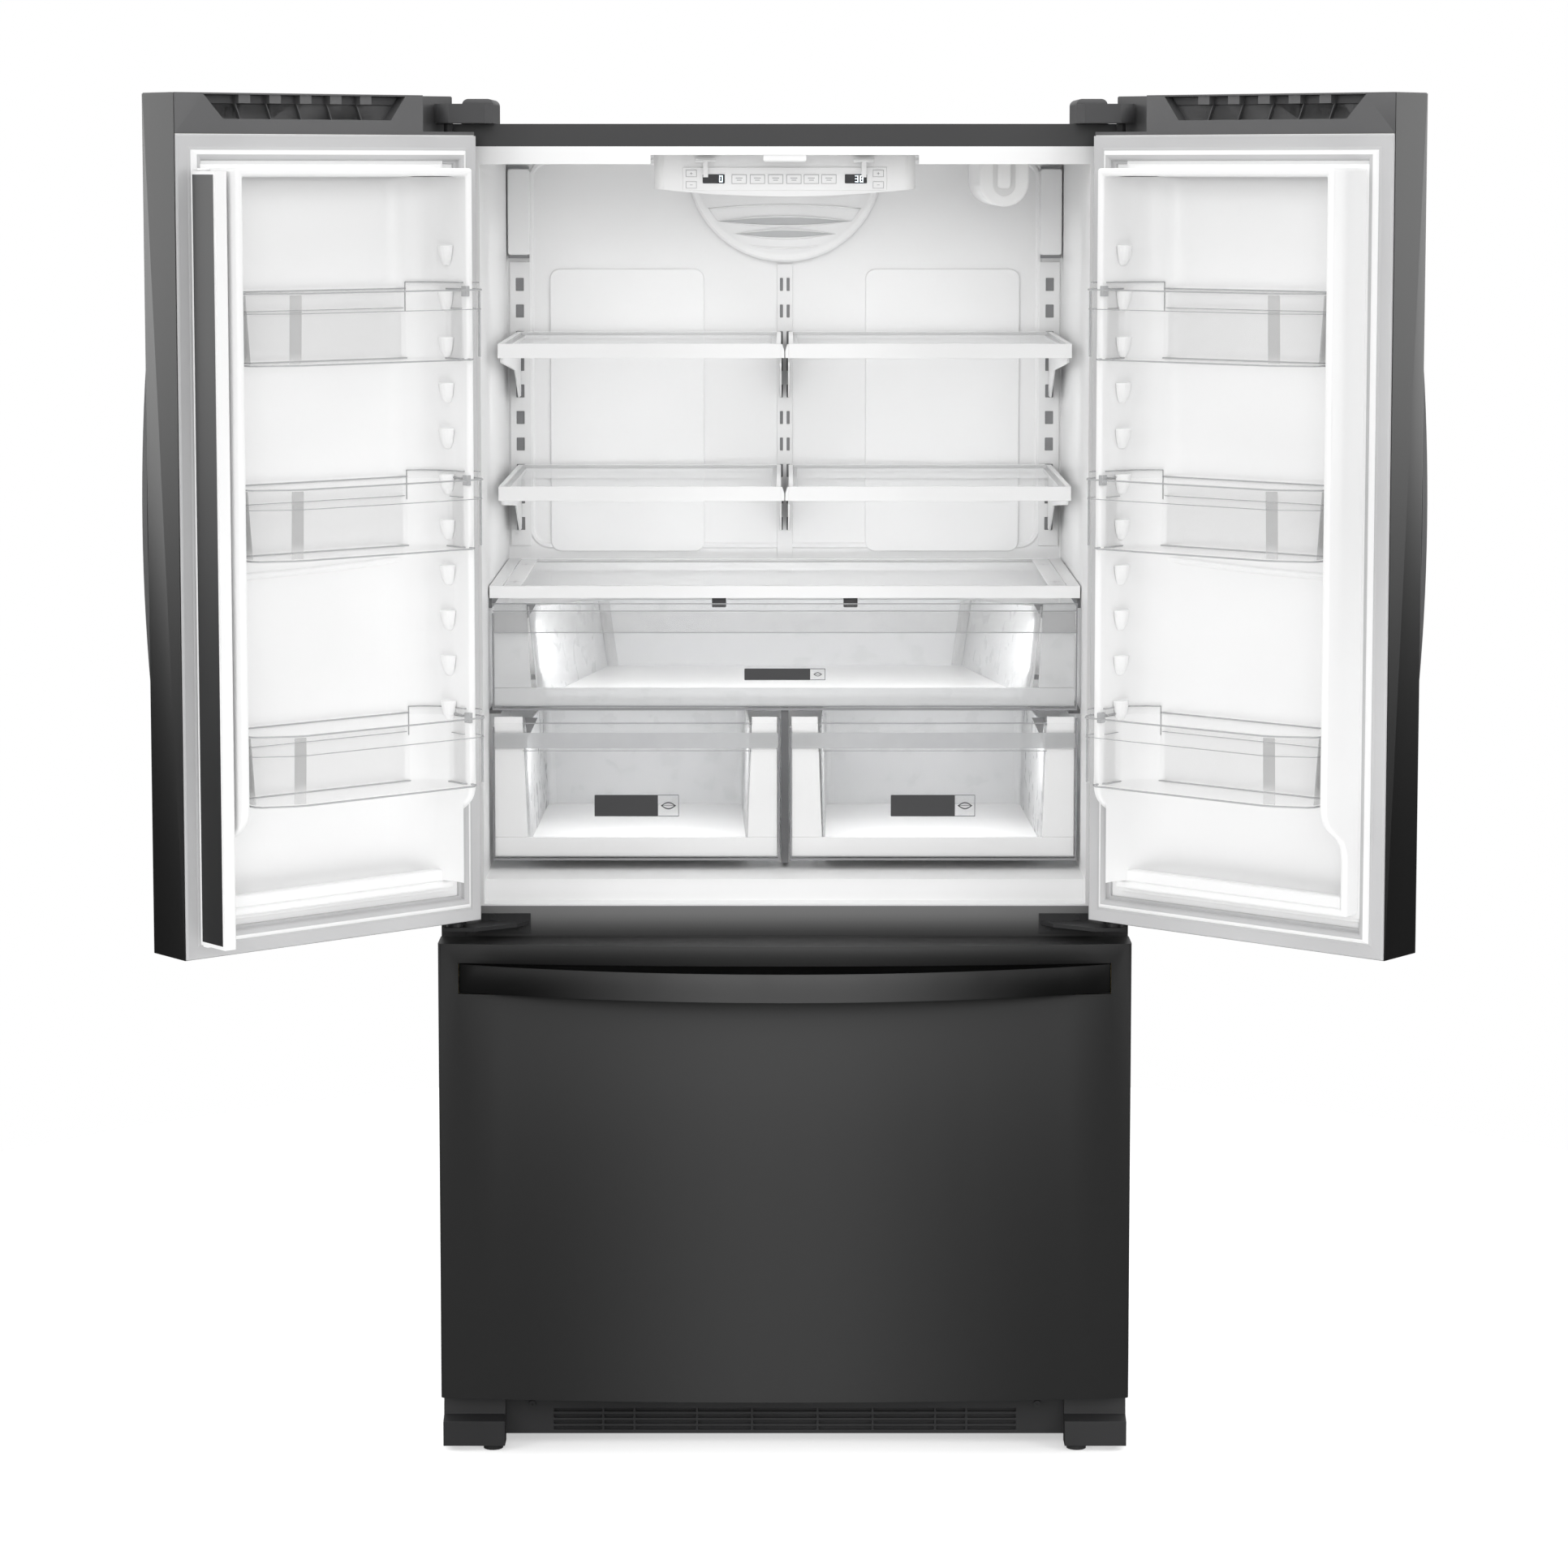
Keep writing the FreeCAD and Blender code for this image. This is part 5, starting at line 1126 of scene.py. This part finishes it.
def area_light(name, place, target, size, power, glossy=True):
    """A rectangular lamp at place that faces target; glossy says if reflections show it."""
    data = bpy.data.lights.new(name, "AREA")
    data.shape = "RECTANGLE"
    data.size, data.size_y = size
    data.energy = power
    light = bpy.data.objects.new(name, data)
    light.location = place
    light.rotation_euler = (Vector(target) - Vector(place)).to_track_quat("-Z", "Y").to_euler()
    light.visible_glossy = glossy
    light.visible_camera = False
    bpy.context.scene.collection.objects.link(light)


def sky():
    """White behind the object; for light and reflections it is dark at the horizon and bright above."""
    world = bpy.data.worlds.new("studio")
    bpy.context.scene.world = world
    world.use_nodes = True
    nodes = world.node_tree.nodes
    links = world.node_tree.links
    shade = nodes["Background"]
    coords = nodes.new("ShaderNodeTexCoord")
    split = nodes.new("ShaderNodeSeparateXYZ")
    links.new(coords.outputs["Generated"], split.inputs["Vector"])
    ramp = ramp_node(nodes, links, split.outputs["Z"], (0.02,) * 3, (0.85,) * 3, (0.0, 0.12))
    seen = nodes.new("ShaderNodeLightPath")
    mix = nodes.new("ShaderNodeMixRGB")
    links.new(seen.outputs["Is Camera Ray"], mix.inputs["Fac"])
    links.new(ramp.outputs["Color"], mix.inputs["Color1"])
    mix.inputs["Color2"].default_value = (1, 1, 1, 1)
    links.new(mix.outputs["Color"], shade.inputs["Color"])
    shade.inputs["Strength"].default_value = 1.0


def camera():
    """A long lens ahead of the case. It looks down by a tilt and a shift together."""
    data = bpy.data.cameras.new("camera")
    data.sensor_width = 36.0
    data.lens = 97.0
    data.shift_y = -0.13
    data.shift_x = -0.0005
    cam = bpy.data.objects.new("camera", data)
    cam.location = (0.0, FRONT - 5.5, 1.688)
    cam.rotation_euler = (math.radians(90 - 5.56), 0, 0)
    bpy.context.scene.collection.objects.link(cam)
    bpy.context.scene.camera = cam


ROOM_FILLS = ((1.56, 0.2), (1.37, 0.34), (1.19, 0.22), (1.05, 0.85), (0.90, 1.3))     # height, watts


def lights():
    """Large soft lamps round the object and small ones over each level of the room."""
    area_light("front_soft", (0, -5.2, 2.6), (0, 0, 1.1), (2.6, 2.0), 38)
    for sign in (-1, 1):
        area_light("side_soft_%d" % sign, (sign * 3.6, -3.2, 2.4), (0, 0, 1.0), (1.6, 2.4), 40)
        area_light("edge_card_%d" % sign, (sign * 3.0, 0.9, 1.95), (sign * 0.8, -0.1, 1.5), (1.4, 1.9), 30)
    area_light("top_soft", (0, -0.6, 4.2), (0, 0, 1.0), (3.0, 3.0), 26)
    area_light("room_ceiling", (0, FRONT + 0.33, 1.64), (0, FRONT + 0.40, 1.0), (0.62, 0.06), 0.35, False)
    for level, power in ROOM_FILLS:
        area_light("shelf_fill_%d" % round(level * 100), (0, FRONT + 0.14, level),
                   (0, FRONT + 0.54, level), (0.68, 0.07), power, False)


studio()
sky()
lights()
camera()
bpy.context.scene.view_settings.view_transform = "Standard"
